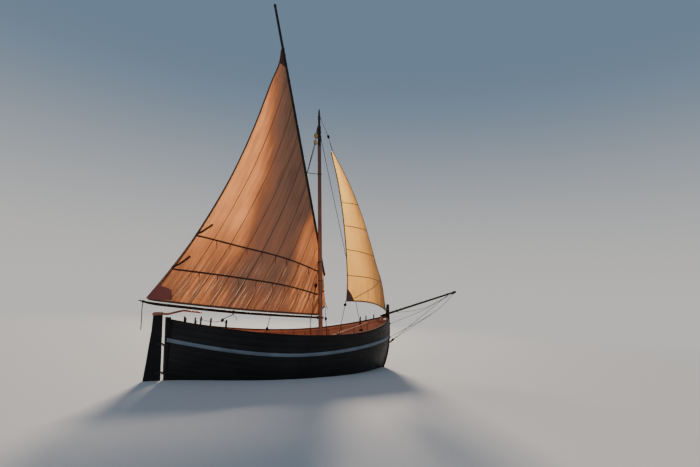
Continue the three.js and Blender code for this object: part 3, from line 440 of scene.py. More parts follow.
def blockBar(name, low, high, material, bevel):
    # Box with rounded edges, in millimetres.
    size = [b - a for a, b in zip(low, high)]
    work = bmesh.new()
    bmesh.ops.create_cube(work, size=1.0)
    bmesh.ops.scale(work, vec=size, verts=work.verts)
    bmesh.ops.translate(work, vec=[a + s / 2 for a, s in zip(low, size)], verts=work.verts)
    bmesh.ops.bevel(work, geom=work.edges[:], offset=min(bevel, min(size) * 0.3), segments=2, affect="EDGES")
    bmesh.ops.scale(work, vec=(mm, mm, mm), verts=work.verts)
    return fromWork(name, work, material, 50)


def softened(name, nodes, material, width):
    # Copies of source solids with their long flats merged and their edges rounded.
    parts = []
    for node in nodes:
        mesh = bpy.data.objects[node].data.copy()
        work = workOn(mesh)
        work.transform(bpy.data.objects[node].matrix_world)
        bmesh.ops.remove_doubles(work, verts=work.verts, dist=2e-5)
        bmesh.ops.dissolve_limit(work, angle_limit=math.radians(1.5), verts=work.verts, edges=work.edges)
        sharp = math.radians(28)
        edges = [e for e in work.edges if len(e.link_faces) == 2 and e.calc_face_angle(0) > sharp]
        bmesh.ops.bevel(work, geom=edges, offset=width, segments=2, affect="EDGES", clamp_overlap=True)
        bmesh.ops.triangulate(work, faces=[f for f in work.faces if len(f.verts) > 4])
        workDone(work, mesh)
        mesh.materials.clear()
        mesh.materials.append(material)
        shadeByAngle(mesh, 42)
        parts.append(newObject(name, mesh))
    return parts[0] if len(parts) == 1 else joined(name, parts)


def softNodes(name, nodes, material, width, body):
    settle(softened(name, nodes, material, width), body, nodes)


# Geometry Nodes: laid rope, tape over a surface, and copies on placed points

def newTree(name, **inputs):  # inputs as kind of socket and value
    tree = bpy.data.node_groups.new(name, "GeometryNodeTree")
    tree.interface.new_socket(name="Geometry", in_out="INPUT", socket_type="NodeSocketGeometry")
    tree.interface.new_socket(name="Geometry", in_out="OUTPUT", socket_type="NodeSocketGeometry")
    for label, value in {**inputs, "Finish": "Material"}.items():
        kind = value if isinstance(value, str) else "Float"
        socket = tree.interface.new_socket(name=label, in_out="INPUT", socket_type=f"NodeSocket{kind}")
        if kind == "Float":
            socket.default_value = value
    return tree, tree.nodes.new("NodeGroupInput"), tree.nodes.new("NodeGroupOutput")


def endTree(tree, geometry, start, end):
    real = addNode(tree, "GeometryNodeRealizeInstances", {"Geometry": geometry.outputs[0]})
    worn = addNode(tree, "GeometryNodeSetMaterial",
                   {"Geometry": real.outputs[0], "Material": start.outputs["Finish"]})
    tree.links.new(worn.outputs[0], end.inputs[0])
    return tree


def placed(tree, label):
    return addNode(tree, "GeometryNodeInputNamedAttribute", {"Name": label},
                   data_type="FLOAT_VECTOR").outputs["Attribute"]


def swept(tree, curve, profile):
    return addNode(tree, "GeometryNodeCurveToMesh",
                   {"Curve": curve.outputs[0], "Profile Curve": profile.outputs[0],
                    "Fill Caps": True})


def laidRopeTree():
    tree, start, end = newTree("laidRope", Radius=0.009, Lay=0.06, Step=0.012)
    curve = addNode(tree, "GeometryNodeMeshToCurve", {"Mesh": start.outputs["Geometry"]})
    even = addNode(tree, "GeometryNodeResampleCurve",
                   {"Curve": curve.outputs[0], "Length": start.outputs["Step"]}, mode="LENGTH")
    along = addNode(tree, "GeometryNodeSplineParameter").outputs["Length"]
    twist = maths(tree, "MULTIPLY", maths(tree, "DIVIDE", along, start.outputs["Lay"]), 2 * math.pi)
    tilted = addNode(tree, "GeometryNodeSetCurveTilt", {"Curve": even.outputs[0], "Tilt": twist})
    circle = addNode(tree, "GeometryNodeCurvePrimitiveCircle", {"Resolution": 12, "Radius": 1.0})
    index = addNode(tree, "GeometryNodeInputIndex").outputs[0]
    lobes = maths(tree, "COSINE", maths(tree, "MULTIPLY", index, math.pi / 2))
    size = maths(tree, "MULTIPLY", maths(tree, "MULTIPLY_ADD", lobes, 0.12, 0.88), start.outputs["Radius"])
    place = addNode(tree, "GeometryNodeInputPosition").outputs[0]
    moved = addNode(tree, "ShaderNodeVectorMath", {0: place, "Scale": size}, operation="SCALE").outputs[0]
    profile = addNode(tree, "GeometryNodeSetPosition", {"Geometry": circle.outputs[0], "Position": moved})
    return endTree(tree, swept(tree, tilted, profile), start, end)


def tapeTree():
    tree, start, end = newTree("tapeOver", Width=0.03, Thick=0.01)
    curve = addNode(tree, "GeometryNodeMeshToCurve", {"Mesh": start.outputs["Geometry"]})
    turned = addNode(tree, "GeometryNodeSetCurveNormal", {"Curve": curve.outputs[0]})
    turned.mode = "FREE"
    tree.links.new(placed(tree, "facing"), turned.inputs["Normal"])
    profile = addNode(tree, "GeometryNodeCurvePrimitiveQuadrilateral", {"Width": start.outputs["Thick"],
                                                                        "Height": start.outputs["Width"]})
    return endTree(tree, swept(tree, turned, profile), start, end)


def copiesTree():
    tree, start, end = newTree("placedCopies", Shape="Object")
    first = addNode(tree, "FunctionNodeAlignRotationToVector", {"Vector": placed(tree, "along")}, axis="Z")
    second = addNode(tree, "FunctionNodeAlignRotationToVector", {"Rotation": first.outputs[0],
                                                                 "Vector": placed(tree, "facing")},
                     axis="X", pivot_axis="Z")
    shape = addNode(tree, "GeometryNodeObjectInfo", {"Object": start.outputs["Shape"]})
    stood = addNode(tree, "GeometryNodeInstanceOnPoints", {
        "Points": start.outputs["Geometry"], "Instance": shape.outputs["Geometry"],
        "Rotation": second.outputs[0], "Scale": placed(tree, "size")})
    return endTree(tree, stood, start, end)


trees = {"rope": laidRopeTree(), "tape": tapeTree(), "copies": copiesTree()}


def grown(name, source, tree, **values):
    # The tree's result on a source object as a plain mesh object.
    modifier = source.modifiers.new("shape", "NODES")
    modifier.node_group = tree
    known = {item.name: item.identifier for item in tree.interface.items_tree if item.in_out == "INPUT"}
    for label, value in values.items():
        modifier[known[label]] = value
    graph = bpy.context.evaluated_depsgraph_get()
    graph.update()
    mesh = bpy.data.meshes.new_from_object(source.evaluated_get(graph), depsgraph=graph)
    source.modifiers.clear()
    dropShapes(source)
    shadeByAngle(mesh, 50)
    return newObject(name, mesh)


def pointsObject(name, points, edges, vectors):
    # Loose points, the edges between them and the vectors that a tree reads at each point
    mesh = bpy.data.meshes.new(name)
    mesh.from_pydata([tuple(c * mm for c in p) for p in points], edges, [])
    for label, rows in vectors.items():
        layer = mesh.attributes.new(label, "FLOAT_VECTOR", "POINT")
        for i, value in enumerate(rows):
            layer.data[i].vector = (value,) * 3 if isinstance(value, (int, float)) else value
    return newObject(name, mesh)


def polyline(name, paths, vectors):
    points, edges = [], []
    for path in paths:
        edges += [(len(points) + i, len(points) + i + 1) for i in range(len(path) - 1)]
        points += path
    return pointsObject(name, points, edges, vectors)


def rope(name, paths, radius, finish=ropeTarred):
    # Laid rope along one or more paths, in millimetres.
    return grown(name, polyline(name, paths, {}), trees["rope"], Radius=radius * mm, Lay=radius * 7.0 * mm,
                 Step=max(radius * 1.25, 8) * mm, Finish=finish)


def tape(name, paths, facings, width, thick, finish):
    facing = {"facing": [v for path in facings for v in path]}
    return grown(name, polyline(name, paths, facing), trees["tape"], Width=width * mm, Thick=thick * mm,
                 Finish=finish)


def copies(name, shape, rows, finish):
    # Copies of a shape: rows of point, direction of its Z, direction of its X, and size. Millimetres.
    vectors = {label: [row[k] for row in rows] for k, label in enumerate(("along", "facing", "size"), 1)}
    places = pointsObject(name, [row[0] for row in rows], [], vectors)
    return grown(name, places, trees["copies"], Shape=shape, Finish=finish)


print("tools ready")


# Hull form, in millimetres, as in the part's source

hullForm = {"halfLength": 4500, "halfBeam": 1455, "fullForward": 3.14, "fullAft": 2.15, "narrowing": 0.985,
            "strakeLine": (772.5, 226.3, 553.4, -176.7, -141.4),
            "railLine": (1339.3, 29.3, 414.2, 143.1, 128.8),
            "keelBottom": -680, "rabbet": -450, "rabbetRise": 30, "siding": 50, "rake": 0.075,
            "aftStation": -4380, "foreStation": 4420, "deckCamber": 45, "deckDrop": 12,
            "forefoot": 3300, "stemReach": 1230, "stemTurn": 1150, "stemLean": 55}
bothSides = ((1, "port"), (-1, "starboard"))


def lineHeight(line, x):
    t = x / hullForm["halfLength"]
    return sum(factor * t**power for power, factor in enumerate(line))


def strakeZ(x):
    return lineHeight(hullForm["strakeLine"], x)


def railZ(x):
    return lineHeight(hullForm["railLine"], x)


def halfBreadth(x):
    power = hullForm["fullForward"] if x > 0 else hullForm["fullAft"]
    return hullForm["halfBeam"] * (1 - abs(x / hullForm["halfLength"]) ** power)


def topside(x, z):
    rise = (z - strakeZ(x)) / (railZ(x) - strakeZ(x))
    return halfBreadth(x) * lerp(hullForm["narrowing"], 1, max(rise, 0))


def stemFace(z):  # leans aft above its turn, and is a quarter of an ellipse below it
    forward, turn = hullForm["forefoot"] + hullForm["stemReach"], hullForm["stemTurn"]
    if z > turn:
        return forward - hullForm["stemLean"] * ((z - turn) / 850) ** 1.6
    drop = (turn - z) / (turn - hullForm["keelBottom"])
    return hullForm["forefoot"] + hullForm["stemReach"] * math.sqrt(max(1 - drop * drop, 0))


def sectionLine(station, count=40):
    # One side of a section from the rabbet up to the strake, as a fine line.
    aft, fore = hullForm["aftStation"], hullForm["foreStation"]
    share = (station - aft) / (fore - aft)
    top = strakeZ(station)
    bottom = hullForm["rabbet"] + hullForm["rabbetRise"] * (station / 4000) ** 2
    full = 1 - (station / hullForm["halfLength"]) ** 2
    breadth = topside(station, top)
    edge = 1 + 0.004 * full
    line = []
    for level in spread(0, 1, count):
        z = lerp(bottom, top - 80, level)
        sternEnd = max(-4329 - hullForm["rake"] * z, aft)
        bowEnd = min(stemFace(z) - 110, fore)
        bulge = (1 - (1 - level) ** (1.25 + 1.75 * full)) ** (1 / (1 + full))
        line.append((lerp(sternEnd, bowEnd, share), lerp(hullForm["siding"], breadth / edge, bulge), z))
    return [*line, (station, breadth, top)]


def planking(station, z):
    # Place and half-breadth of the planking at a height.
    line = sectionLine(station)
    for low, high in zip(line, line[1:]):
        if low[2] <= z <= high[2]:
            share = (z - low[2]) / (high[2] - low[2])
            return lerp(low[0], high[0], share), lerp(low[1], high[1], share)
    return station, 0


def deckZ(x, y):
    half = halfBreadth(x)
    rise = hullForm["deckCamber"] * max(half * half - y * y, 0) / hullForm["halfBeam"] ** 2
    return strakeZ(x) - hullForm["deckDrop"] + rise


seamValues = {"width": 4, "depth": 1.6}  # caulked seams between the strakes


def strakeMarks(strakes, girth, between):
    # Shares of the girth and the depths there: flat strakes with a groove between each two
    marks = []
    for strake in range(strakes):
        low, high = strake / strakes, (strake + 1) / strakes
        margin = min(seamValues["width"] / girth, (high - low) / 4)
        marks += [(low + margin, 0), *[(lerp(low, high, t), 0) for t in between], (high - margin, 0),
                  (high, seamValues["depth"])]
    return marks[:-1]


shellValues = {"stations": 96, "strakes": 9, "thick": 38, "innerRows": 16}


def hullSkin():
    # Planked skin outside and its inner face, from the rabbet on one side to the other.
    def inFrom(line, share, depth):
        place = share * (len(line) - 1)
        k = min(int(place), len(line) - 2)
        along = (line[k + 1] - line[k]).normalized()
        return line[k].lerp(line[k + 1], place - k) - Vector((0, along.z, -along.y)) * depth

    def across(points):
        return [Vector((p.x, -p.y, p.z)) for p in points]

    rings = []
    for station in spread(hullForm["aftStation"], hullForm["foreStation"], shellValues["stations"]):
        line = evenPoints(sectionLine(station), 160)
        girth = sum((b - a).length for a, b in zip(line, line[1:]))
        outer = [inFrom(line, *mark) for mark in strakeMarks(shellValues["strakes"], girth, (0.35, 0.68))]
        inner = [inFrom(line, share, shellValues["thick"])
                 for share in spread(0, 1, shellValues["innerRows"])]
        for point in inner:
            point.y = max(point.y, 6)
        rings.append(outer[::-1] + across(outer) + across(inner)[::-1] + inner)
    count = len(rings[0])
    faces = ringFaces(len(rings), count)
    picks = [int(face[0] % count >= 2 * len(outer) - 1) for face in faces]
    faces += [tuple(range(start, start + count)) for start in (0, (len(rings) - 1) * count)]
    points = [p for ring in rings for p in ring]
    mesh = meshFrom("hull_planking", points, faces, [hullBlack, innerWood], picks + [0, 0], angle=60)
    return newObject("hull_planking", mesh)


settle(hullSkin(), "hull", ["hull_shell"])
print("hull skin made")


sideValues = {"stations": 120, "strakes": 3, "thick": 24, "timberDepth": 46, "timberWidth": 48,
              "timbers": (-3900, -3400, -2880, -2360, -1840, -1320, -800, -280, 240, 760, 1280, 1800, 2320,
                          2840, 3330, 3800)}


def raisedPlanks(side, word):
    # Three black strakes outside, red lining inside.
    rings = []
    for x in spread(hullForm["aftStation"], hullForm["foreStation"], sideValues["stations"]):
        low, high = strakeZ(x) + 0.5, railZ(x)
        marks = strakeMarks(sideValues["strakes"], high - low, (0.5,))
        marks = [(0, 0), *marks[1:-1], (1, 0)]
        outer = [(x, side * (topside(x, z) - depth), z) for z, depth in
                 ((lerp(low, high, share), depth) for share, depth in marks)]
        inner = [(x, side * max(topside(x, z) - sideValues["thick"], 4), z) for z in spread(high, low, 3)]
        rings.append(outer + inner)
    count = len(rings[0])
    points = [p for ring in rings for p in ring]
    faces = ringFaces(len(rings), count)
    picks = [int(count - 3 <= face[0] % count < count - 1) for face in faces]
    faces += [tuple(range(count)), tuple(range(len(points) - count, len(points)))]
    name = f"raised_planks_{word}"
    return newObject(name, meshFrom(name, points, faces, [hullBlack, innerRed], picks + [0, 0], angle=60))


def raisedTimbers(side, word):
    # Side timbers from the deck edge to the rail.
    rows = []
    for x in sideValues["timbers"]:
        low, high = strakeZ(x) + 14, railZ(x) - 3
        foot, head = [Vector((x, side * (topside(x, z) - 32), z)) for z in (low, high)]
        ahead = Vector((60, side * (topside(x + 30, high) - topside(x - 30, high)), 0)).normalized()
        size = (sideValues["timberWidth"] * mm, sideValues["timberDepth"] * mm, (head - foot).length * mm)
        rows.append(((foot + head) / 2, head - foot, ahead, size))
    return copies(f"raised_timbers_{word}", boxShape, rows, timberRed)


clampValues = {"drop": 34, "depth": 26, "height": 62}


def railClamp(side, word):
    # Long batten inside the timbers, below the rail.
    depth, height = clampValues["depth"], clampValues["height"]
    section = ((0, 0), (0, -height), (4 - depth, -height), (-depth, 5 - height), (-depth, -5), (4 - depth, 0))
    rings = []
    for x in spread(-4000, 4100, 80):
        z = railZ(x) - clampValues["drop"]
        outer = max(topside(x, z) - 54, 30)
        rings.append([(x, side * (outer + dy), z + dz) for dy, dz in section])
    return lofted(f"rail_clamp_{word}", rings, innerRed, 50)


capValues = {"width": 88, "overhang": 20,
             "section": ((3, 0), (0, 5), (0, 24), (7, 31), (81, 31), (88, 24), (88, 6), (84, 0))}


def capRail(side, word):
    # Rail cap with rounded edges.
    width = capValues["width"]
    rings = []
    for x in spread(hullForm["aftStation"], hullForm["foreStation"], 110):
        z = railZ(x) + 0.5
        outer = topside(x, railZ(x)) + capValues["overhang"]
        inner = max(outer - width, 62)
        rings.append([(x, side * (inner + dy if dy < 40 else outer - (width - dy)), z + dz)
                      for dy, dz in capValues["section"]])
    return lofted(f"rail_cap_{word}", rings, railDark, 60)


bandValues = {"thick": 42, "aftEnd": -4477,
              "section": ((0, -55), (0.6, -55), (0.9, -46), (1.0, -31), (1.0, 31),
                          (0.9, 46), (0.6, 55), (0, 55))}


def bandThick(x):
    return bandValues["thick"] * clamp(halfBreadth(x) / 400, 0.45, 1)


def rubbingBand(side, word):
    # Pale half-round strake between the hull and the raised side, run on over the sternpost's side.
    rings = []
    for x in [bandValues["aftEnd"], *spread(hullForm["aftStation"], hullForm["foreStation"], 110)]:
        inner = max(topside(x, strakeZ(x) + 55), 54) + 0.5
        rings.append([(x, side * (inner + bandThick(x) * out), strakeZ(x) + up)
                      for out, up in bandValues["section"]])
    return lofted(f"rubbing_band_{word}", rings, strakeShadedWhite, 60)


def unitBox(name):
    work = bmesh.new()
    bmesh.ops.create_cube(work, size=1.0)
    bmesh.ops.bevel(work, geom=work.edges[:], offset=0.06, segments=2, affect="EDGES")
    mesh = bpy.data.meshes.new(name)
    workDone(work, mesh)
    return newObject(name, mesh)


def spunShape(name, profile, sides):
    # Turned shape from radius and height pairs, one metre to the unit.
    angles = [2 * math.pi * k / sides for k in range(sides)]
    points = [(radius * math.cos(a), radius * math.sin(a), height)
              for radius, height in profile for a in angles]
    faces = ringFaces(len(profile), sides)
    faces += [tuple(range(sides)), tuple(range(len(points) - sides, len(points)))]
    return newObject(name, meshFrom(name, points, faces, [], angle=50, unit=1.0))


boxShape = unitBox("boxShape")
nailShape = spunShape("nailShape", [(1.0, 0), (1.0, 0.2), (0.8, 0.45), (0.35, 0.6)], 8)
pinShape = spunShape("pinShape",
                     [(0.98, 0), (0.98, 0.12), (0.9, 0.2), (0.88, 0.62), (1.0, 0.74), (0.98, 0.86),
                      (0.7, 0.95), (0.3, 1.0)], 16)

# Thole pins: place along the rail, side, height and radius
pinRows = [(-4090, -1, 190, 25), (-3810, -1, 125, 25), (-3690, -1, 270, 26), (-3440, -1, 270, 28),
           (-3040, -1, 280, 33), (-3810, 1, 165, 24), (-3440, 1, 230, 26), (3556, 1, 215, 27),
           (3750, 1, 215, 28), (4010, 1, 200, 27)]


def railPlace(x, side, up=0.0):  # on the rail's cap, where the pins stand
    return x, side * (topside(x, railZ(x)) - 22), railZ(x) + up


def tholePins(side, word):
    rows = [(railPlace(x, side, 10), (0, 0, 1), (1, 0, 0), (radius * mm, radius * mm, (height - 10) * mm))
            for x, pinSide, height, radius in pinRows if pinSide == side]
    return copies(f"thole_pins_{word}", pinShape, rows, sparDark)


def bandNails(side, word):
    rows = []
    for x in spread(-4200, 4300, 70):
        y = side * (topside(x, strakeZ(x) + 55) + bandThick(x) + 0.2)
        rows += [((x, y, strakeZ(x) + up), (0.0, side, 0.05), (1, 0, 0), 5 * mm) for up in (-22, 22)]
    return copies(f"strake_nails_{word}", nailShape, rows, strakeShadedWhite)


for side, word in bothSides:
    settle(raisedPlanks(side, word), "hull", [f"raised_side_{word}"])
    settle(raisedTimbers(side, word), "hull")
    settle(railClamp(side, word), "hull")
    settle(capRail(side, word), "hull", [f"cap_rail_{word}"])
    settle(rubbingBand(side, word), "hull", [f"rubbing_strake_{word}"])
    settle(tholePins(side, word), "hull")
    settle(bandNails(side, word), "hull")
print("sides made")


# Decks, coaming and the well

deckValues = {"plank": 118, "gap": 5, "thick": 27, "sideDeck": 340, "edge": 42, "least": 8,
              "fore": (764, 4330), "aft": (-4245, -2904), "side": (-2896, 756)}
wellValues = {"aft": -2900, "fore": 760, "widest": 1050, "inset": 1, "thick": 26, "above": 94, "below": 105}


def wellHalf(x):
    return min(halfBreadth(x) - deckValues["sideDeck"], wellValues["widest"])


def deckEdge(x):
    return halfBreadth(x) * hullForm["narrowing"] - deckValues["edge"]


def deckPlanks(name, ends, inner=None, sides=(-1, 1)):
    # Planks laid fore and aft, cut to the hull's line, over pitch that fills the seams between them
    start, stop = ends
    width, gap, thick = deckValues["plank"], deckValues["gap"] / 2, deckValues["thick"]
    count = int(hullForm["halfBeam"] // width) + 1
    stations = spread(start, stop, max(int((stop - start) / 90), 6))
    parts = []
    for k in range(-count, count):
        low, high = k * width + gap, (k + 1) * width - gap
        rings = []
        for x in [*stations, None]:
            fit = []
            if x is not None:
                limit, near = deckEdge(x), inner(x) + 1 if inner else 0
                bounds = [(-limit, limit)]
                if inner:
                    bounds = [(near, limit) if s > 0 else (-limit, -near) for s in sides]
                fit = [(max(low, a), min(high, b)) for a, b in bounds
                       if min(high, b) - max(low, a) > deckValues["least"]]
            if fit:
                a, b = fit[0]
                section = ((a + 2, 0.5), (b - 2, 0.5), (b, 3), (b, thick), (a, thick), (a, 3))
                rings.append([(x, y, deckZ(x, y) - drop) for y, drop in section])
            else:
                if len(rings) > 1:
                    parts.append(lofted(name, rings, deckWood, 40))
                rings = []
    for side in sides:
        rings = []
        for x in spread(start + 2, stop - 2, len(stations)):
            across = spread(inner(x) + 3 if inner else 0, deckEdge(x) - 2, 7)
            rings.append([(x, side * y, deckZ(x, y) - 4.5) for y in across]
                         + [(x, side * y, deckZ(x, y) - thick + 2) for y in across[::-1]])
        parts.append(lofted(name, rings, caulk, 60))
    return joined(name, parts)


def coaming():
    # Coaming round the well: a rounded board on the sides and across the ends.
    def section(x, y, face, inward):
        top, low = deckZ(x, y) + wellValues["above"], deckZ(x, y) - wellValues["below"]
        a = face + inward * wellValues["inset"]
        b = a + inward * wellValues["thick"]
        return ((a, low), (a, top - 7), (a + inward * 6, top), (b - inward * 6, top), (b, top - 7), (b, low))

    parts = []
    for side in (-1, 1):
        rings = [[(x, side * v, z) for v, z in section(x, wellHalf(x), wellHalf(x), -1)]
                 for x in spread(wellValues["aft"], wellValues["fore"], 60)]
        parts.append(lofted("coaming_board", rings, innerRed, 60))
    for x, inward in ((wellValues["aft"], 1), (wellValues["fore"], -1)):
        reach = wellHalf(x) - wellValues["thick"]
        rings = [[(v, y, z) for v, z in section(x, y, x, inward)] for y in spread(-reach, reach, 24)]
        parts.append(lofted("coaming_board", rings, innerRed, 60))
    return joined("coaming_boards", parts)


floorValues = {"board": 106, "gap": 3, "thick": 23.6, "ribs": 108, "ends": (-2690, 610)}


def floorboardSet():
    # Loose boards over the bearers, cut to the bilge.
    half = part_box("floorboards")[1][1] / mm
    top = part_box("floorboards")[1][2] / mm
    boards = []
    for k in range(-9, 9):
        board, gap = floorValues["board"], floorValues["gap"]
        low, high = k * board + gap, (k + 1) * board - gap
        out = max(abs(low), abs(high))
        reach = [x for x in spread(*floorValues["ends"], 67)
                 if planking(x, top)[1] - floorValues["ribs"] > out]
        if reach and out <= half * 0.985:
            boards.append(blockBar("floor_board", (reach[0], low, top - floorValues["thick"]),
                                   (reach[-1], high, top), deckWood, 3))
    return joined("floor_boards", boards)


settle(deckPlanks("foredeck_planks", deckValues["fore"]), "hull", ["foredeck"])
settle(deckPlanks("aft_deck_planks", deckValues["aft"]), "hull", ["aft_deck"])
for side, word in bothSides:
    planks = deckPlanks(f"side_deck_planks_{word}", deckValues["side"], wellHalf, (side,))
    settle(planks, "hull", [f"side_deck_{word}"])
settle(coaming(), "hull", ["coaming"])
settle(floorboardSet(), "hull", ["floorboards"])
for name, nodes, material, width, slot in (
        ("frames_and_keel_timber", ["frames_and_keelson"], innerWood, 0.005, "deck_wood"),
        ("thwart_boards", ["thwart_1", "thwart_2"], deckWood, 0.006, "deck_wood"),
        ("mast_seat_timber", ["mast_step", "mast_partner"], innerWood, 0.006, "deck_wood"),
        ("backbone", ["keel", "sternpost"], hullBlack, 0.006, "hull_black"),
        ("stem_timber", ["stem"], railDark, 0.007, "rail_dark"),
        ("breasthook_timber", ["breasthook"], timberRed, 0.007, "inner_red")):
    softNodes(name, nodes, material, width, "hull")
print("well made")


# Mast, bowsprit and the rig's own frame

rigForm = {"mastX": 1029, "mastZ": 1263, "rake": math.radians(4.73), "swing": math.radians(5), "offset": 165,
           "yardFoot": (360, 2150), "yardPeak": (-1964, 12080), "darkHead": 8320}
mastProfile = [(-180, 70), (300, 78), (900, 82), (2000, 79), (5000, 74), (7500, 69), (8320, 66), (9020, 63),
               (9080, 46), (9520, 40), (9715, 30), (9805, 13)]
yardProfile = [(2150, 29), (2250, 37), (4000, 45), (6000, 49), (8500, 48), (10500, 47), (11980, 44),
               (12000, 51), (12060, 49), (12080, 29)]
boomProfile = [(-300, 592, 23), (-260, 597, 39), (3360, 1050, 44), (5900, 1380, 42), (6150, 1425, 34),
               (6390, 1495, 12)]
boomBend = {"depth": 55, "start": -260, "length": 6650}  # it bends a little under the pull of the sheet
spritProfile = [(4130, 45), (4700, 46), (6800, 45), (8850, 42), (8930, 42), (8955, 59),
                (9005, 59), (9035, 35)]
spritForm = {"y": 112, "end": (9035, 3305), "slope": 0.26}
oarForm = {"ends": ((1790, 1222, 951), (3712, 455, 1730)),
           "profile": [(0, 26), (0.02, 33), (0.5, 34), (0.56, 31), (0.62, 27), (0.72, 23),
                       (0.97, 19), (1, 14)]}
rigMatrix = (Matrix.Translation((rigForm["mastX"], 0, rigForm["mastZ"]))
             @ Matrix.Rotation(-rigForm["rake"], 4, "Y")
             @ Matrix.Rotation(rigForm["swing"], 4, "Z"))


def inRig(x, h, y=rigForm["offset"]):  # forward of the mast, up along it, to port
    return tuple(rigMatrix @ Vector((x, y, h)))


def mastAt(z):
    return rigForm["mastX"] - (z - rigForm["mastZ"]) * math.tan(rigForm["rake"]), 0, z


def mastRadius(z):
    return tableAt(mastProfile, z)


def yardX(h):
    (x0, h0), (x1, h1) = rigForm["yardFoot"], rigForm["yardPeak"]
    return lerp(x0, x1, (h - h0) / (h1 - h0))


def yardRadius(h):
    return tableAt(yardProfile, h)


def boomSag(d):
    return boomBend["depth"] * math.sin(math.pi * clamp((d - boomBend["start"]) / boomBend["length"]) ** 1.1)


def spritAt(x):
    return x, spritForm["y"], spritForm["end"][1] - (spritForm["end"][0] - x) * spritForm["slope"]


def spar(name, profile, steps, place, material, sides=24):
    # Round spar on rows of place and radius, with rows filled in between them
    rows = []
    for low, high in zip(profile, profile[1:]):
        rows += [mix(low, high, i / steps) for i in range(steps)]
    rows.append(profile[-1])
    return roundBar(name, [place(*row[:-1]) for row in rows], [row[-1] for row in rows], material, sides)


mastPole = spar("mast_pole", mastProfile, 4, mastAt, sparRed, 32)
mastPole.data.materials.append(sparDark)
for face in mastPole.data.polygons:
    if face.center.z > rigForm["darkHead"] * mm:  # tarred masthead
        face.material_index = 1
settle(mastPole, "hull", ["mast"])
settle(spar("bowsprit_spar", spritProfile, 4, spritAt, sparDark), "hull", ["bowsprit"])
settle(spar("yard_spar", yardProfile, 5, lambda h: inRig(yardX(h), h), sparDark), "rig",
       ["yard"])
settle(spar("boom_spar", boomProfile, 5, lambda d, h: inRig(-d, h - boomSag(d)), sparDark), "rig",
       ["boom"])
settle(spar("oar", oarForm["profile"], 1, lambda t: mix(*oarForm["ends"], t), oarPale), "hull",
       ["stowed_oar"])
print("spars made")


# Sails: a fine grid through the middle of the cloth. The main's lies in the rig's plane.

mainValues = {"rows": 150, "columns": 120, "thick": 7, "cloth": 600, "belly": 0.055, "footGap": 79,
              "tack": (380, 1020), "throat": (300, 2230), "lowShare": 0.13, "head": 10460}
leechPoints = [(-6185, 1545), (-5510, 2390), (-4800, 3390), (-3720, 5240), (-2850, 7110), (-2095, 9060),
               (-1745, 9910)]


def boomHeight(x):
    return tableAt(boomProfile, -x) - boomSag(-x)


def yardEdge(h):
    (x0, h0), (x1, h1) = rigForm["yardFoot"], rigForm["yardPeak"]
    slope = (x1 - x0) / (h1 - h0)
    return yardX(h) - (yardRadius(h) * 0.96 + 1) * math.hypot(1, slope)


mainLeech = [*leechPoints, (yardEdge(mainValues["head"]) - 24, mainValues["head"] - 8)]
mainLeech = smoothPath([(x, 0, h) for x, h in mainLeech], mainValues["rows"] + 1)


def mainFlat(r, w):  # forward position and height on the sail's outline grid, and its fore and aft edges
    up, low = r / mainValues["rows"], mainValues["lowShare"]
    tack, throat, clew = mainValues["tack"], mainValues["throat"], leechPoints[0]
    if up < low:
        fx, fh = mix(tack, throat, up / low)
    else:
        fh = lerp(throat[1], mainValues["head"], (up - low) / (1 - low))
        fx = min(yardEdge(fh), throat[0])
    aft = mainLeech[r]
    x, h = lerp(fx, aft.x, w), lerp(fh, aft.z, w)
    if 0 < w < 1:  # the foot follows the boom
        straight = lerp(tack[1], clew[1], (tack[0] - x) / (tack[0] - clew[0]))
        ahead = 1 if x < 0 else (tack[0] - x) / tack[0]
        h += min((boomHeight(min(x, 0)) + mainValues["footGap"] - straight) * ahead, 0) * (1 - up) ** 8
    return x, h, fx, aft.x


def creaseAt(x, h):  # folds that fan up and aft from the foot, dying out towards the middle
    low = 1 - ease(1600, 4300, h)
    fan = (-x - 0.62 * (h - 1000)) / 1000
    soft, sharp, tiny = [noise.noise(Vector((fan * pitch, h / reach, seed))) for pitch, reach, seed in
                         ((2.1, 5200, 3.7), (5.6, 3800, 9.1), (12.0, 2600, 5.3))]
    return low * (11 * soft + 8 * sharp + 3.5 * tiny) + 9 * noise.noise(Vector((x / 1500, h / 3600, 1.3)))


def mainPoint(r, w):
    x, h, front, aft = mainFlat(r, w)
    lead = min(front, -130)  # the mast presses the cloth flat ahead of this
    behind = clamp((lead - x) / max(lead - aft, 1))
    belly = mainValues["belly"] * max(front - aft, 0) * math.sin(math.pi * behind**0.8)
    hold = min(ease(0, 260, front - x), ease(0, 140, x - aft) * 0.8 + 0.2)
    scoop = -14 * math.cos(math.pi * 2 * x / 620) * (1 - ease(1100, 1900, h)) * hold
    near = ease(-130, -420, x) if x < -130 else 0
    return x, rigForm["offset"] - belly + (creaseAt(x, h) + scoop) * hold * (0.2 + 0.8 * near), h


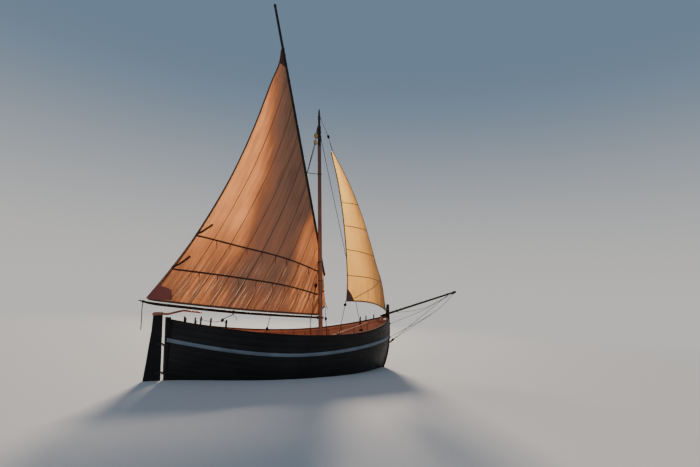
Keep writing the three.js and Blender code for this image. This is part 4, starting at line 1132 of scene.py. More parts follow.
class SailGrid:
    # Rows of points through the middle of the cloth, and the matrix that stands it on the boat
    def __init__(self, points, turn=None):
        self.points, self.turn = points, turn
        self.rows, self.columns = len(points) - 1, len(points[0]) - 1
        self.normals = []
        for r, row in enumerate(points):
            below, above = points[max(r - 1, 0)], points[min(r + 1, self.rows)]
            line = []
            for c in range(self.columns + 1):
                across = row[min(c + 1, self.columns)] - row[max(c - 1, 0)]
                line.append(across.cross(above[c] - below[c]).normalized())
            self.normals.append(line)

    def sample(self, u, v):  # u across the columns, v up the rows, both from 0 to 1
        r, c = clamp(v) * self.rows, clamp(u) * self.columns
        r0, c0 = min(int(r), self.rows - 1), min(int(c), self.columns - 1)
        point, normal = [table[r0][c0].lerp(table[r0][c0 + 1], c - c0)
                         .lerp(table[r0 + 1][c0].lerp(table[r0 + 1][c0 + 1], c - c0), r - r0)
                         for table in (self.points, self.normals)]
        return point, normal.normalized()

    def find(self, x, z, start):  # u and v of a place given by its x and z
        u, v = start
        for _ in range(30):
            p = self.sample(u, v)[0]
            offX, offZ = x - p.x, z - p.z
            if abs(offX) + abs(offZ) < 0.5:
                break
            stepU, stepV = [0.004 if share < 0.5 else -0.004 for share in (u, v)]
            pu, pv = self.sample(u + stepU, v)[0], self.sample(u, v + stepV)[0]
            a, b = (pu.x - p.x) / stepU, (pv.x - p.x) / stepV
            c, d = (pu.z - p.z) / stepU, (pv.z - p.z) / stepV
            turned = a * d - b * c
            if abs(turned) < 1e-6:
                break
            u = clamp(u + 0.8 * (offX * d - b * offZ) / turned)
            v = clamp(v + 0.8 * (a * offZ - c * offX) / turned)
        return u, v

    def stood(self, points):
        return [self.turn @ p for p in points] if self.turn else points


def twoSkins(grid, places, thick, width):
    # Closed cloth over the sail at places of point and normal, in rows of one width
    points = [p + n * thick * side for side in (0.5, -0.5) for p, n in places]
    half = len(places)
    rows = half // width
    top = ringFaces(rows, width, closed=False)
    edge = [*range(width), *[r * width + width - 1 for r in range(1, rows)]]
    edge += [half - 1 - c for c in range(1, width)] + [r * width for r in range(rows - 2, 0, -1)]
    rim = [(a, b, b + half, a + half) for a, b in zip(edge, edge[1:] + edge[:1])]
    return grid.stood(points), top + [tuple(half + i for i in face[::-1]) for face in top] + rim


def sailObject(name, grid, thick, material, tones, maps):
    # The sail's cloth, with a tone value of painted light and shade and a value for the painted fold streaks
    # at each point
    places = [place for row in zip(grid.points, grid.normals) for place in zip(*row)]
    points, faces = twoSkins(grid, places, thick, grid.columns + 1)
    mesh = meshFrom(name, points, faces, [material], uvs=[uv for row in maps for uv in row] * 2, angle=70)
    for k, label in enumerate(("tone", "paintedFoldLight")):
        layer = mesh.attributes.new(label, "FLOAT", "POINT")
        layer.data.foreach_set("value", [tone[k] for row in tones for tone in row] * 2)
    return newObject(name, mesh)


mainColumns = [1 - (1 - i / mainValues["columns"]) ** 0.9 for i in range(mainValues["columns"] + 1)]
mainGrid = SailGrid([[Vector(mainPoint(r, w)) for w in mainColumns] for r in range(mainValues["rows"] + 1)],
                    rigMatrix)

# Painted shade of the belly: height, its aft and fore borders behind the mast, and its depth, in metres
paintedShadeRows = [(1.3, 3.9, 1.6, 0.12), (1.9, 3.9, 1.4, 0.3), (2.8, 3.3, 1.25, 0.38), (3.9, 3.0, 0.9, 0.5),
             (4.9, 2.66, 0.0, 0.53), (5.6, 2.35, -0.6, 0.52), (8.2, 1.94, -0.6, 0.6), (10.4, 1.8, -0.6, 0.6)]


# Tone of painted light and shade: brighter up high and towards the leech, brighter low by the mast, darker
# low among the folds and in the belly's painted shade; the second value weighs the painted fold streaks and
# highlights, with some streaks in the painted shade too.
def mainTone(p):
    d, h = -p.x / 1000, p.z / 1000
    aft, fore, depth = [tableAt(paintedShadeRows, clamp(h, 1.3, 10.4), column) for column in (1, 2, 3)]
    shade = (1 - ease(aft - 0.5, aft + 0.45, d)) * ease(fore - 0.3, fore + 0.3, d)
    tone = 0.68 + 0.1 * ease(1.9, 3.3, h) + 0.17 * ease(2.4, 4.2, h) * ease(1.2, 2.6, d) - depth * shade
    tone += 0.06 * (1 - ease(0.9, 1.7, d)) * (1 - ease(2.8, 4.0, h))
    paintedFoldLight = (1 - 0.92 * ease(1.9, 3.3, h)) * (1 - 0.65 * ease(4.9, 5.9, d))
    return clamp(tone), clamp(max(paintedFoldLight, 0.46 * shade))


def measured(grid):  # the cloth's own map in metres: from the leech along each row, and up the leech
    heights = [0.0]
    for low, high in zip(grid.points, grid.points[1:]):
        heights.append(heights[-1] + (high[-1] - low[-1]).length * mm)
    maps = []
    for row, height in zip(grid.points, heights):
        across = [0.0]
        for fore, aft in zip(row[-2::-1], row[:0:-1]):
            across.append(across[-1] + (fore - aft).length * mm)
        maps.append([(distance, height) for distance in across[::-1]])
    return maps


mainMaps = measured(mainGrid)
mainSail = sailObject("main_canvas", mainGrid, mainValues["thick"], sailTan,
                      [[mainTone(p) for p in row] for row in mainGrid.points], mainMaps)
print("mainsail made")


# Jib, with its three-cornered cloth hung from the masthead

jibValues = {"rows": 110, "columns": 56, "thick": 6, "belly": 260, "footRise": 130}
jibLuff = smoothPath([(4230, -56, 2218), (3762, -250, 3343), (3295, -370, 4071), (2888, -430, 4865),
                      (2322, -420, 6013), (1677, -280, 7219), (1081, 0, 8302)], 1001)
jibLeech = smoothPath([(1378, -950, 2517), (1440, -870, 3241), (1435, -700, 4443), (1359, -500, 5759),
                       (1230, -250, 7051), (1012, 0, 8262)], 1001)


def jibPoint(r, w):
    up = r / jibValues["rows"]
    a, b = jibLuff[round(up * 1000)], jibLeech[round(up * 1000)]
    point = a.lerp(b, w)
    point.y -= jibValues["belly"] * (a - b).length / 3000 * math.sin(math.pi * w**0.85) + 5
    point.z += jibValues["footRise"] * math.sin(math.pi * w) * (1 - up) ** 6
    hold = math.sin(math.pi * clamp(w, 0.02, 0.98)) * (1 - ease(0.9, 1.0, up))
    fold = noise.noise(Vector((point.x / 420, point.z / 1500, 7.7))) * 9 * (0.4 + 0.6 * ease(0.5, 0.0, up))
    near = math.exp(-((1 - w) ** 2 * 9 + up**2 * 60))
    corner = near * 14 * math.sin(26 * math.atan2(up * 2.4 + 0.02, 1.02 - w))
    point.y += (fold + corner) * hold
    return point


# Tone of painted light and shade: brighter towards the leech and up high, darker low and forward; the second
# value weighs the painted fold streaks near the foot.
def jibTone(r, w):
    up = r / jibValues["rows"]
    return clamp(1.02 - 0.5 * (1 - w) ** 1.6 - 0.28 * (1 - up)), 0.05 + 0.25 * (1 - ease(0.0, 0.25, up))


jibColumns = spread(0, 1, jibValues["columns"] + 1)
jibGrid = SailGrid([[jibPoint(r, w) for w in jibColumns] for r in range(jibValues["rows"] + 1)])
jibSail = sailObject("jib_canvas", jibGrid, jibValues["thick"], jibCream,
                     [[jibTone(r, w) for w in jibColumns] for r in range(jibValues["rows"] + 1)],
                     measured(jibGrid))


# Tapes, patches, reef points and bolt ropes that are sewn to the sails

def overSail(grid, places):
    # A line over a sail from its u and v marks: points and the cloth's normals
    marks = []
    for a, b in zip(places, places[1:]):
        steps = max(int(math.dist(a, b) * 50 / 3), 3)
        marks += [mix(a, b, i / steps) for i in range(steps)]
    points, facings = zip(*[grid.sample(*mark) for mark in [*marks, places[-1]]])
    if grid.turn:
        facings = [(grid.turn.to_3x3() @ n).normalized() for n in facings]
    return grid.stood(points), facings


def sewn(name, grid, lines, width, finish, thick):
    points, facings = zip(*[overSail(grid, line) for line in lines])
    return tape(name, points, facings, width, thick, finish)


def patchOver(name, grid, corners, finish, thick, steps=10):
    # Four-cornered doubling of the cloth, from u and v marks
    a, b, c, d = corners
    shares = spread(0, 1, steps + 1)
    places = [grid.sample(*mix(mix(a, b, i), mix(d, c, i), j)) for i in shares for j in shares]
    points, faces = twoSkins(grid, places, thick, steps + 1)
    return newObject(name, meshFrom(name, points, faces, [finish], angle=70))


def mainMark(d, h, start=(0.5, 0.3)):  # metres aft of the mast and up along it
    return mainGrid.find(-d * 1000, h * 1000, start)


def clothLine(distance, grid, maps):
    # Marks at one distance from the leech, up to where the cloth runs out
    places = []
    for r in range(0, grid.rows + 1, 2):
        line = [place[0] for place in maps[r]]
        if line[0] < distance:
            break
        c = next(c for c in range(grid.columns, -1, -1) if line[c] >= distance)
        share = (line[c] - distance) / max(line[c] - line[min(c + 1, grid.columns)], 1e-6)
        places.append(((c + share) / grid.columns, r / grid.rows))
    return places


def edgeLines(count, sides, du=0.0, dv=0.0):  # along the sail's foot, leech or luff, a little inside
    marks = {"foot": lambda t: (t, 0.0), "leech": lambda t: (1.0, t), "luff": lambda t: (0.0, t)}
    lines = [[marks[side](i / count) for i in range(count + 1)] for side in sides]
    return [[(clamp(u, du, 1 - du), clamp(v, dv, 1 - dv)) for u, v in line] for line in lines]


# Reef bands and strips in metres aft of the mast and up along it, seams of the jib by height
sewnForm = {"reefBands": [[(4.80, 3.39), (3.38, 3.08), (1.81, 2.78), (0.05, 2.29)],
                          [(5.53, 2.41), (3.84, 2.14), (1.81, 1.84), (0.0, 1.43)]],
            "strips": [[(4.79, 3.40), (4.27, 3.74)], [(5.52, 2.42), (4.97, 2.73)]],
            "jibSeams": (3453, 4420, 5325, 6210)}
mainSeams = [clothLine(k * mainValues["cloth"] * mm, mainGrid, mainMaps) for k in range(1, 11)]
mainSeams = [line for line in mainSeams if len(line) > 3]
jibSeams = []
for height in sewnForm["jibSeams"]:
    v = jibGrid.find(1450, height, (0.98, 0.3))[1]
    jibSeams.append([(1, v), (0.5, v + 0.012), (0, v + 0.02)])
jibSeams.append([(0.86, 0.02), (0.4, 0.12), (0, 0.21)])
bandLines = []
for band in sewnForm["reefBands"]:
    marks = [mainMark(*place) for place in band]
    marks = [(1, marks[0][1]), *marks[1:-1], (0, marks[-1][1])]
    bandLines.append([(p.x, p.y) for p in smoothPath([(u, v, 0) for u, v in marks], 46)])
stripLines = [[mainMark(*place, (0.9, 0.25)) for place in strip] for strip in sewnForm["strips"]]
clewCorners = [mainMark(6.17, 1.56, (1, 0)), mainMark(5.84, 1.93, (1, 0.05)),
               mainMark(5.52, 1.76, (0.9, 0.03)), mainMark(5.5, 1.47, (0.9, 0))]
headCorners = [(0.0, 0.93), (1.0, 0.945), (1.0, 0.999), (0.0, 0.999)]
mainSewn = [sewn("main_seams", mainGrid, mainSeams, 15, seamTan, 15),
            sewn("main_reef_bands", mainGrid, bandLines, 50, bandBrown, 16),
            sewn("main_strips", mainGrid, stripLines, 58, bandBrown, 18),
            sewn("main_tabling", mainGrid, edgeLines(60, ("foot", "leech"), 0.004, 0.003), 46, seamTan, 12),
            patchOver("main_clew_patch", mainGrid, clewCorners, patchMaroon, 15),
            patchOver("main_head_patch", mainGrid, headCorners, bandBrown, 15, 6)]
jibSides = ("foot", "leech", "luff")
jibSewn = [sewn("jib_seams", jibGrid, jibSeams, 24, seamCream, 10),
           sewn("jib_tabling", jibGrid, edgeLines(50, jibSides, 0.006, 0.004), 42, seamCream, 11),
           patchOver("jib_clew_patch", jibGrid, [(1.0, 0.0), (1.0, 0.085), (0.92, 0.05), (0.85, 0.0)],
                     jibPatch, 14),
           patchOver("jib_tack_patch", jibGrid, [(0.0, 0.0), (0.1, 0.0), (0.08, 0.04), (0.0, 0.06)],
                     jibPatch, 14)]


def boltRope(name, grid, sides, radius, finish):  # along the cloth's edges
    return rope(name, [overSail(grid, line)[0] for line in edgeLines(80, sides)], radius, finish)


mainCords = [boltRope("main_bolt_rope", mainGrid, ("foot", "leech"), 10, ropeTarred)]
jibCords = [boltRope("jib_bolt_rope", jibGrid, jibSides, 9, ropeHemp)]

# Reef points hang on both faces below each band
pointRows = []
for band, line in enumerate(bandLines):
    for k in range(1, 9):
        point, normal = mainGrid.sample(*line[round(k * (len(line) - 1) / 9.5)])
        down = rigMatrix.to_3x3() @ Vector((0.1 * math.sin(k * 2.3 + band), 0, -1)).normalized()
        for side in (1, -1):
            length = 0.24 + 0.05 * math.sin(k * 1.7 + band * 2 + side)
            pointRows.append((rigMatrix @ (point + normal * side * 11), down,
                              rigMatrix.to_3x3() @ normal * side, (0.0075, 0.0075, length)))
cordShape = spunShape("cordShape",
                      [(0.5, -0.03), (1.15, 0.0), (1.15, 0.03), (0.8, 0.06), (1.0, 0.5), (0.9, 0.92),
                       (1.35, 0.95), (1.35, 0.99), (0.6, 1.0)], 8)
mainCords.append(copies("reef_points", cordShape, pointRows, ropeTarred))


def ringBar():
    # Ring of unit radius: a bar round a circle with its two ends joined
    circle = [(math.cos(a), math.sin(a), 0) for a in spread(0, 2 * math.pi, 21)[:-1]]
    ring = roundBar("ringShape", circle, 0.1, ropeTarred, 6, unit=1.0, capped=False)
    work = workOn(ring.data)
    bmesh.ops.bridge_loops(work, edges=[edge for edge in work.edges if edge.is_boundary])
    bmesh.ops.recalc_face_normals(work, faces=work.faces)
    workDone(work, ring.data)
    return ring


# Robands: rings of cord round the yard that take the sail's edge
ringShape = ringBar()
yardWay = Vector(inRig(yardX(9000), 9000)) - Vector(inRig(yardX(3000), 3000))
hoops = [(inRig(yardX(h), h), yardWay, (0, 1, 0), (yardRadius(h) + 9) * mm) for h in spread(2330, 10260, 27)]
(x, y, z), *rest = hoops[-1]
hoops.append(((x - 4, y, z + 26), *rest))
settle(copies("robands", ringShape, hoops, ropeTarred), "rig")
for sail, node, body, slot, cloths, cords in (
        (mainSail, "mainsail", "rig", "sail_tan", mainSewn, mainCords),
        (jibSail, "jib", "hull", "jib_cream", jibSewn, jibCords)):
    settle(sail, body, [node])
    for piece in cloths:
        settle(piece, body)
    for piece in cords:
        settle(piece, body)
print("sails made")


# Shapes for fittings: slabs, turns of cord and blocks

def clipped(outline, edge, way):
    # The part of an outline on one side of an upright line
    kept = []
    for (ax, az), (bx, bz) in zip(outline, outline[1:] + outline[:1]):
        inside, after = (ax - edge) * way >= 0, (bx - edge) * way >= 0
        if inside:
            kept.append((ax, az))
        if inside != after:
            kept.append((edge, lerp(az, bz, (edge - ax) / (bx - ax))))
    return kept


def slab(name, outline, low, high, material, bevel, place=None):
    # Slab on an outline in x and z, between two y values, with rounded edges. Millimetres throughout.
    work = bmesh.new()
    near = [work.verts.new((x, low, z)) for x, z in outline]
    far = [work.verts.new((x, high, z)) for x, z in outline]
    work.faces.new(near)
    work.faces.new(far[::-1])
    for i, corner in enumerate(near):
        after = (i + 1) % len(near)
        work.faces.new((corner, far[i], far[after], near[after]))
    bmesh.ops.recalc_face_normals(work, faces=work.faces)
    edges = [e for e in work.edges if e.calc_face_angle(0) > 0.35]
    bmesh.ops.bevel(work, geom=edges, offset=bevel, segments=2, affect="EDGES", clamp_overlap=True)
    bmesh.ops.triangulate(work, faces=[f for f in work.faces if len(f.verts) > 4])
    if place:
        work.transform(place)
    work.transform(Matrix.Scale(mm, 4))
    return fromWork(name, work, material, 45)


def turns(centre, axis, radius, count=1.0, climb=0.0, steps=24):
    # Points of one or more turns about an axis, climbing along it
    axis = Vector(axis).normalized()
    side = axis.orthogonal().normalized()
    other = axis.cross(side)
    points = []
    for i in range(int(steps * count) + 1):
        angle = 2 * math.pi * i / steps
        rise = climb * (i / (steps * count) - 0.5)
        out = side * math.cos(angle) + other * math.sin(angle)
        points.append(Vector(centre) + out * radius + axis * rise)
    return points


def seizing(a, b, share, radius, cord=3.5, count=6):
    # Turns of small cord round a rope that runs from a to b
    a, b = Vector(a), Vector(b)
    return turns(a.lerp(b, share), b - a, radius + cord * 0.7, count, count * cord * 1.9, 14)


def makeBlockShape():
    # Wooden block one unit long: cheeks, chocks at the ends, a sheave and its pin
    def loop(width, height, y, count=20):
        angles = spread(0, 2 * math.pi, count + 1)[:-1]
        return [(width * math.cos(a), y, height * math.sin(a)) for a in angles]

    def part(name, rings, angle):
        return lofted(name, rings, lightWood, angle, unit=1.0)

    parts = []
    for side in (-1, 1):
        parts.append(part("block_cheek", [loop(0.37 * share, 0.5 * share, side * y) for y, share in
                                          ((0.09, 0.96), (0.11, 1.0), (0.19, 0.95), (0.25, 0.8),
                                           (0.28, 0.55))], 50))
    parts.append(part("block_sheave", [loop(r, r, y) for y, r in
                                       ((-0.08, 0.3), (-0.03, 0.25), (0.03, 0.25), (0.08, 0.3))], 30))
    parts.append(part("block_pin", [loop(0.06, 0.06, y, 10) for y in (-0.3, 0.3)], 40))
    for low, high in ((-0.47, -0.36), (0.36, 0.47)):
        corners = ((-0.15, -0.1), (0.15, -0.1), (0.15, 0.1), (-0.15, 0.1))
        parts.append(part("block_chock", [[(x, y, z) for x, y in corners] for z in (low, high)], 40))
    return joined("blockShape", parts)


blockShape = makeBlockShape()
blockSizes = {"along": 0.54, "across": 0.41, "over": 0.55}  # of the strop, on the block's length


def blocksAt(name, rows, body, finish=railDark):
    # Blocks in rope strops: rows of centre, way of the length, way of the pin, and length
    shells, strops = [], []
    for centre, way, pin, length in rows:
        way, pin = Vector(way).normalized(), Vector(pin).normalized()
        pin = (pin - way * pin.dot(way)).normalized()
        shells.append((centre, way, pin.cross(way), length * mm))
        strops.append((centre, pin, way, tuple(length * share * mm for share in blockSizes.values())))
    made = joined(name, [copies("block_shells", blockShape, shells, finish),
                         copies("block_strops", ringShape, strops, ropeTarred)])
    settle(made, body)


def eyeBolt(name, foot, length, radius, thick):
    # Iron eye on an upright shank
    foot, up = Vector(foot), Vector((0, 0, 1))
    shank = roundBar(name, [foot, foot + up * (length - radius)], thick, ironBlack, 12)
    plate = roundBar(name, [foot, foot + up * 5], thick * 2.2, ironBlack, 16)
    eye = copies(name, ringShape,
                 [(foot + up * length, (-1, 0, 0), up, (radius * mm, radius * mm, radius * 2 * mm))],
                 ironBlack)
    return joined(name, [shank, plate, eye])


def crossing(piece):
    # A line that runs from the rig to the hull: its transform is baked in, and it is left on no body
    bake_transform(piece)


# Rudder, tiller and irons, in the hinge's own frame

rudderForm = {"hinge": -4465, "half": 28, "boards": (-640, -478, -360, -250, -146, -40),
              "outline": [(-46, 1840), (-300, 1840), (-332, 1400), (-388, 990), (-446, 527), (-515, 60),
                          (-600, -450), (-635, -780), (-600, -1000), (-500, -1060),
                          (-135, -1060), (-46, -900)],
              "tiller": [(-150, 1888), (107, 1862), (306, 1897), (557, 1936), (812, 1902), (1105, 1858)],
              "head": [(-325, 1840.6), (-30, 1840.6), (-30, 1906), (-66, 1930), (-290, 1930), (-325, 1902)],
              "irons": (1005, 210, -380), "strapBolts": (-66, -118, -170, -214), "postBolts": (56, 98),
              "nails": (1760, 1560, 1240, 720, 420, -40, -640, -960), "flat": -1000}
sternMatrix = (Matrix.Translation((rudderForm["hinge"], 0, 0))
               @ Matrix.Rotation(-math.atan(hullForm["rake"]), 4, "Y"))


def sternBolt(x, y, z, size):  # its head on a side of the rudder or the post
    return sternMatrix @ Vector((x, y, z)), (0, math.copysign(1, y), 0), (1, 0, 0), size * mm


boards, rudderBolts, postBolts = [], [], []
boardEdges = list(zip(rudderForm["boards"], rudderForm["boards"][1:]))
for low, high in boardEdges:
    outline = clipped(clipped(rudderForm["outline"], low, 1), high, -1)
    boards.append(slab("rudder_board", outline, -rudderForm["half"], rudderForm["half"], hullBlack,
                       2.5, sternMatrix))
settle(joined("rudder_boards", boards), "rudder", ["rudder_blade"])
tillerPath = [sternMatrix @ p for p in smoothPath([(x, 0, z) for x, z in rudderForm["tiller"]], 48)]
tillerRadii = [lerp(33, 28, i / 47) for i in range(44)] + [28, 31, 31, 22]
settle(joined("tiller_timber", [roundBar("tiller_bar", tillerPath, tillerRadii, tillerRed, 20),
                                slab("tiller_head", rudderForm["head"], -46, 46, tillerRed, 7, sternMatrix)]),
       "rudder", ["tiller"])
for name, node, body in (("rudder_straps", "rudder_iron", "rudder"), ("post_straps", "gudgeon", "hull")):
    softNodes(name, [f"{node}_{level}" for level in ("upper", "middle", "lower")], ironBlack,
              0.002, body)
aftEdge = [(z, x) for x, z in rudderForm["outline"][8:1:-1]]
for side in (-1, 1):
    for level in rudderForm["irons"]:
        rudderBolts += [sternBolt(x, side * 36.4, level + 21, 9) for x in rudderForm["strapBolts"]]
        postBolts += [sternBolt(x, side * 62.4, level - 20, 9) for x in rudderForm["postBolts"]]
    for z in rudderForm["nails"]:
        edge = tableAt(aftEdge, z) if z > rudderForm["flat"] else -500
        for low, high in boardEdges:
            if (low + high) / 2 > edge + 30:
                rudderBolts.append(sternBolt((low + high) / 2, side * rudderForm["half"], z, 6))
settle(copies("rudder_bolts", nailShape, rudderBolts, ironBlack), "rudder")
settle(copies("post_bolts", nailShape, postBolts, ironBlack), "hull")
print("rudder made")


# Bowsprit's iron and the lines below it

softNodes("gammon_band", ["gammon_iron"], ironBlack, 0.002, "hull")
sprit = {"way": (1, 0, spritForm["slope"]), "ring": 8400, "end": 8893, "heel": 5060}
lowEye, midEye, highEye, leadEye = [stemFace(z) for z in (1000, 1170, 1725, 1205)]
stemPlates = []
for face, low, high in ((lowEye, 930, 1010), (midEye, 1130, 1205), (highEye, 1680, 1765)):
    face += 0.5
    outline = [(face, low), (face + 62, low + 18), (face + 84, low + 34), (face + 84, high - 22),
               (face + 62, high - 8), (face, high)]
    stemPlates.append(slab("stem_plate", outline, -14, 14, ironBlack, 4))
stayFoot, stayHead = (lowEye + 92, 2, 996), (8414, 112, 3305 - 635 * spritForm["slope"] - 53)
bobLines = [
    [stayFoot, stayHead],
    turns(spritAt(sprit["ring"]), sprit["way"], tableAt(spritProfile, sprit["ring"]) + 9),
    turns((lowEye + 78, 0, 975), (0, 1, 0), 24),
    smoothPath([(8890, 88, 3214), (8100, 80, 2650), (7240, 68, 2192), (6000, 52, 1690), (4774, 24, 1240),
                (midEye + 66, 2, 1168)], 60)]
bowLines = [
    smoothPath([(8895, 104, 3214), (7895, 112, 2855), (7003, 112, 2497), (6156, 112, 2312), (5437, 112, 2230),
                (5060, 112, 2212)], 60),
    smoothPath([(8880, 132, 3212), (7700, 118, 2745), (6680, 96, 2335), (5600, 60, 2010), (4760, 18, 1775),
                (highEye + 66, 0, 1722)], 60),
    [(highEye + 40, 6, 1684), (leadEye + 14, 6, 1400), (leadEye + 26, 6, 1206)],
    smoothPath([(lowEye + 92, -4, 1004), (4960, 4, 1160), (6616, 44, 1905), (7230, 62, 2176)], 50),
    turns(spritAt(sprit["end"]), sprit["way"], 50, 3, 34),
    turns(spritAt(sprit["heel"]), sprit["way"], 52, 3, 30),
    *[seizing(stayFoot, stayHead, share, 8) for share in (0.02, 0.965)]]
settle(joined("bobstay_lines", [rope("bobstay_ropes", bobLines, 11), rope("bobstay_thin", bowLines, 9),
                                *stemPlates]), "hull", ["bobstay"])
stayFoot, stayHead = Vector(stayFoot), Vector(stayHead)
blocksAt("bobstay_block", [(stayFoot.lerp(stayHead, 0.036), stayHead - stayFoot, (0, 1, 0), 120),
                           ((lowEye + 140, -3, 1020), (1, 0, 0.45), (0, 1, 0), 90)], "hull")


# Stays: served eye at the masthead, rope, deadeye and lashing to a chock inside the raised side

mastWay = Vector(mastAt(9000)) - Vector(mastAt(2000))
stayForm = {"aft": (8880, -500, 1160), "fore": (8720, 3560, 1440)}  # height of the head, and the foot's place


def mastStay(word, headZ, footX, footZ):
    skin = topside(footX, footZ)
    foot = Vector((footX, skin - 108, footZ + 0.4))
    centre, radius = Vector(mastAt(headZ)), mastRadius(headZ) + 11
    outward = Vector((foot.x - centre.x, foot.y, 0)).normalized()
    head = centre + outward * radius + Vector((0, 0, outward.x * radius * math.tan(rigForm["rake"])))
    way = (head - foot).normalized()
    cross = way.cross(outward).normalized()
    length = (head - foot).length

    def along(distance, across=0.0):
        return foot + way * distance + cross * across

    strands = [turns(centre, mastWay, radius), [along(290), along(length)]]
    for side in (-1, 1):
        strands.append([centre + cross * side * radius * 0.8 + outward * 24, along(length - 110, side * 5),
                        along(length - 150)])
    thin = [seizing(along(length - 170), along(length - 60), 0.5, 14, 4, 9),
            seizing(along(330), along(430), 0.4, 10, 4, 7), turns(along(106), way, 13, 8, 60, 14)]
    thin += [[along(24, side * 0.6), along(190, side)] for side in (-14, -5, 5, 14)]
    thin.append(turns(foot + Vector((0, 0, 10)), (0, 0, 1), 15, 2, 10))
    settle(joined(f"stay_{word}",
                  [rope("stay_rope", strands, 12.5), rope("stay_lashing", thin, 4.5, ropeHemp)]),
           "hull", [f"stay_port_{word}"])
    blocksAt(f"stay_block_{word}", [(along(236), way, cross, 116)], "hull")
    settle(blockBar(f"stay_chock_{word}", (footX - 55, skin - 135, footZ - 60),
                    (footX + 55, skin - 26, footZ), railDark, 6), "hull")


for word, place in stayForm.items():
    mastStay(word, *place)


# Gear of the jib: halyard, sheet with its cleat, and tack lashing

cleatOutline = [(-90, 31), (-84, 42), (-30, 36), (30, 36), (84, 42), (90, 31), (52, 22), (30, 16), (28, 0),
                (-28, 0), (-30, 16), (-52, 22)]


def cleat(name, centre, turn=0.0, size=1.0):
    # Horned cleat with its foot at the given place
    place = Matrix.Translation(centre) @ Matrix.Rotation(turn, 4, "Z") @ Matrix.Scale(size, 4)
    return slab(name, cleatOutline, -15, 15, railDark, 4, place)


poleEye, poleReach = Vector(mastAt(9478)), mastRadius(9478) + 9
halyardBlock, jibHead = Vector((837, 0, 8833)), Vector((1112, -9, 8220))
halyardLines = [turns(poleEye, mastWay, poleReach, 3, 34),
                [poleEye + Vector((poleReach, 0, 0)), halyardBlock],
                [halyardBlock, jibHead], turns(jibHead.lerp(halyardBlock, 0.02), (0, 1, 0), 16),
                turns(mastAt(9400), mastWay, mastRadius(9400) + 8, 2, 18)]
halyardCords = [seizing(halyardBlock, jibHead, 0.9, 7, 3.5, 10),
                seizing(halyardBlock, poleEye, 0.2, 7, 3.5, 8)]
settle(joined("jib_halyard_gear", [rope("jib_halyard_rope", halyardLines, 9),
                                   rope("jib_halyard_splice",
                                        [[halyardBlock.lerp(jibHead, 0.36), jibHead]], 16),
                                   rope("jib_halyard_cord", halyardCords, 3.5)]), "hull",
       ["jib_halyard"])
blocksAt("jib_halyard_block", [(halyardBlock.lerp(jibHead, 0.01), jibHead - halyardBlock, (0, 1, 0), 130)],
         "hull")

cleatX = 730
cleatFoot = (cleatX, -(topside(cleatX, railZ(cleatX)) - 28), railZ(cleatX + 90) + 33.4)
cleatTop = Vector((*cleatFoot[:2], cleatFoot[2] + 22))
clew, sheetBlock = Vector((1362, -944, 2497)), Vector((1330, -966, 2397))
sheetLines = [[clew + Vector((-4, 3, 12)), sheetBlock], [sheetBlock, cleatTop + Vector((26, -12, 4))],
              turns(cleatTop + Vector((0, 0, -4)), (0, 0, 1), 36, 2, 14),
              turns(clew + Vector((2, 0, 8)), (1, 1, 0), 15)]
settle(joined("jib_sheet_gear", [rope("jib_sheet_rope", sheetLines, 11), cleat("jib_cleat", cleatFoot),
                                 rope("jib_sheet_cord", [seizing(clew, sheetBlock, 0.25, 8)], 3.5)]),
       "hull", ["jib_sheet"])
blocksAt("jib_sheet_block", [(sheetBlock, clew - cleatTop, (0.7, 0.7, 0), 120)], "hull")

tackFrom, tackTo = Vector((4332, -40, 2345)), Vector((4233, -62, 2220))
tackLines = [[tackFrom + Vector((0, 0, dz)), tackTo + Vector((0, 0, dz * 0.6))] for dz in (-7, 0, 7)]
tackLines.append(turns(tackFrom.lerp(tackTo, 0.5), tackTo - tackFrom, 11, 4, 26))
settle(joined("jib_tack_gear", [blockBar("tack_band", (4322, -64, 2330), (4341.6, 64, 2360), ironBlack, 3),
                                rope("tack_lashing", tackLines, 5, ropeHemp)]), "hull", ["jib_tack"])
print("stays and jib gear made")


# Strops, halyard and tails that swing with the yard and boom

def rigPath(*points):
    return [inRig(x, h, y) for x, h, y in points]


def rigTurns(*values):
    return [rigMatrix @ p for p in turns(*values)]


def strop(name, h, sparX, radius, sparWay, node):
    # Rope grommets about the mast and about the spar, and the lashing between them
    reach = mastRadius(rigForm["mastZ"] + h * math.cos(rigForm["rake"])) + 14
    mast, spar = Vector((0, 0, h)), Vector((sparX, rigForm["offset"], h))
    toward = (spar - mast).normalized()
    start, stop = mast + toward * reach, spar - toward * (radius + 12.4)
    thick = [rigTurns(mast, (0, 0, 1), reach), rigTurns(spar, sparWay, radius + 12.4),
             [rigMatrix @ start, rigMatrix @ stop]]
    thin = rigTurns(start.lerp(stop, 0.5), toward, 15, 7, (stop - start).length * 0.7, 16)
    settle(joined(name, [rope(name, thick, 12), rope(name, [thin], 5)]), "rig", [node])


(footX, footH), (peakX, peakH) = rigForm["yardFoot"], rigForm["yardPeak"]
yardSlope = (peakX - footX, 0, peakH - footH)
strop("yard_grommet", 6000, yardX(6000), yardRadius(6000) + 1, yardSlope, "yard_strop")
strop("boom_grommet", boomHeight(0), 0, tableAt(boomProfile, 0, 2) + 1, (1, 0, -0.125), "boom_strop")

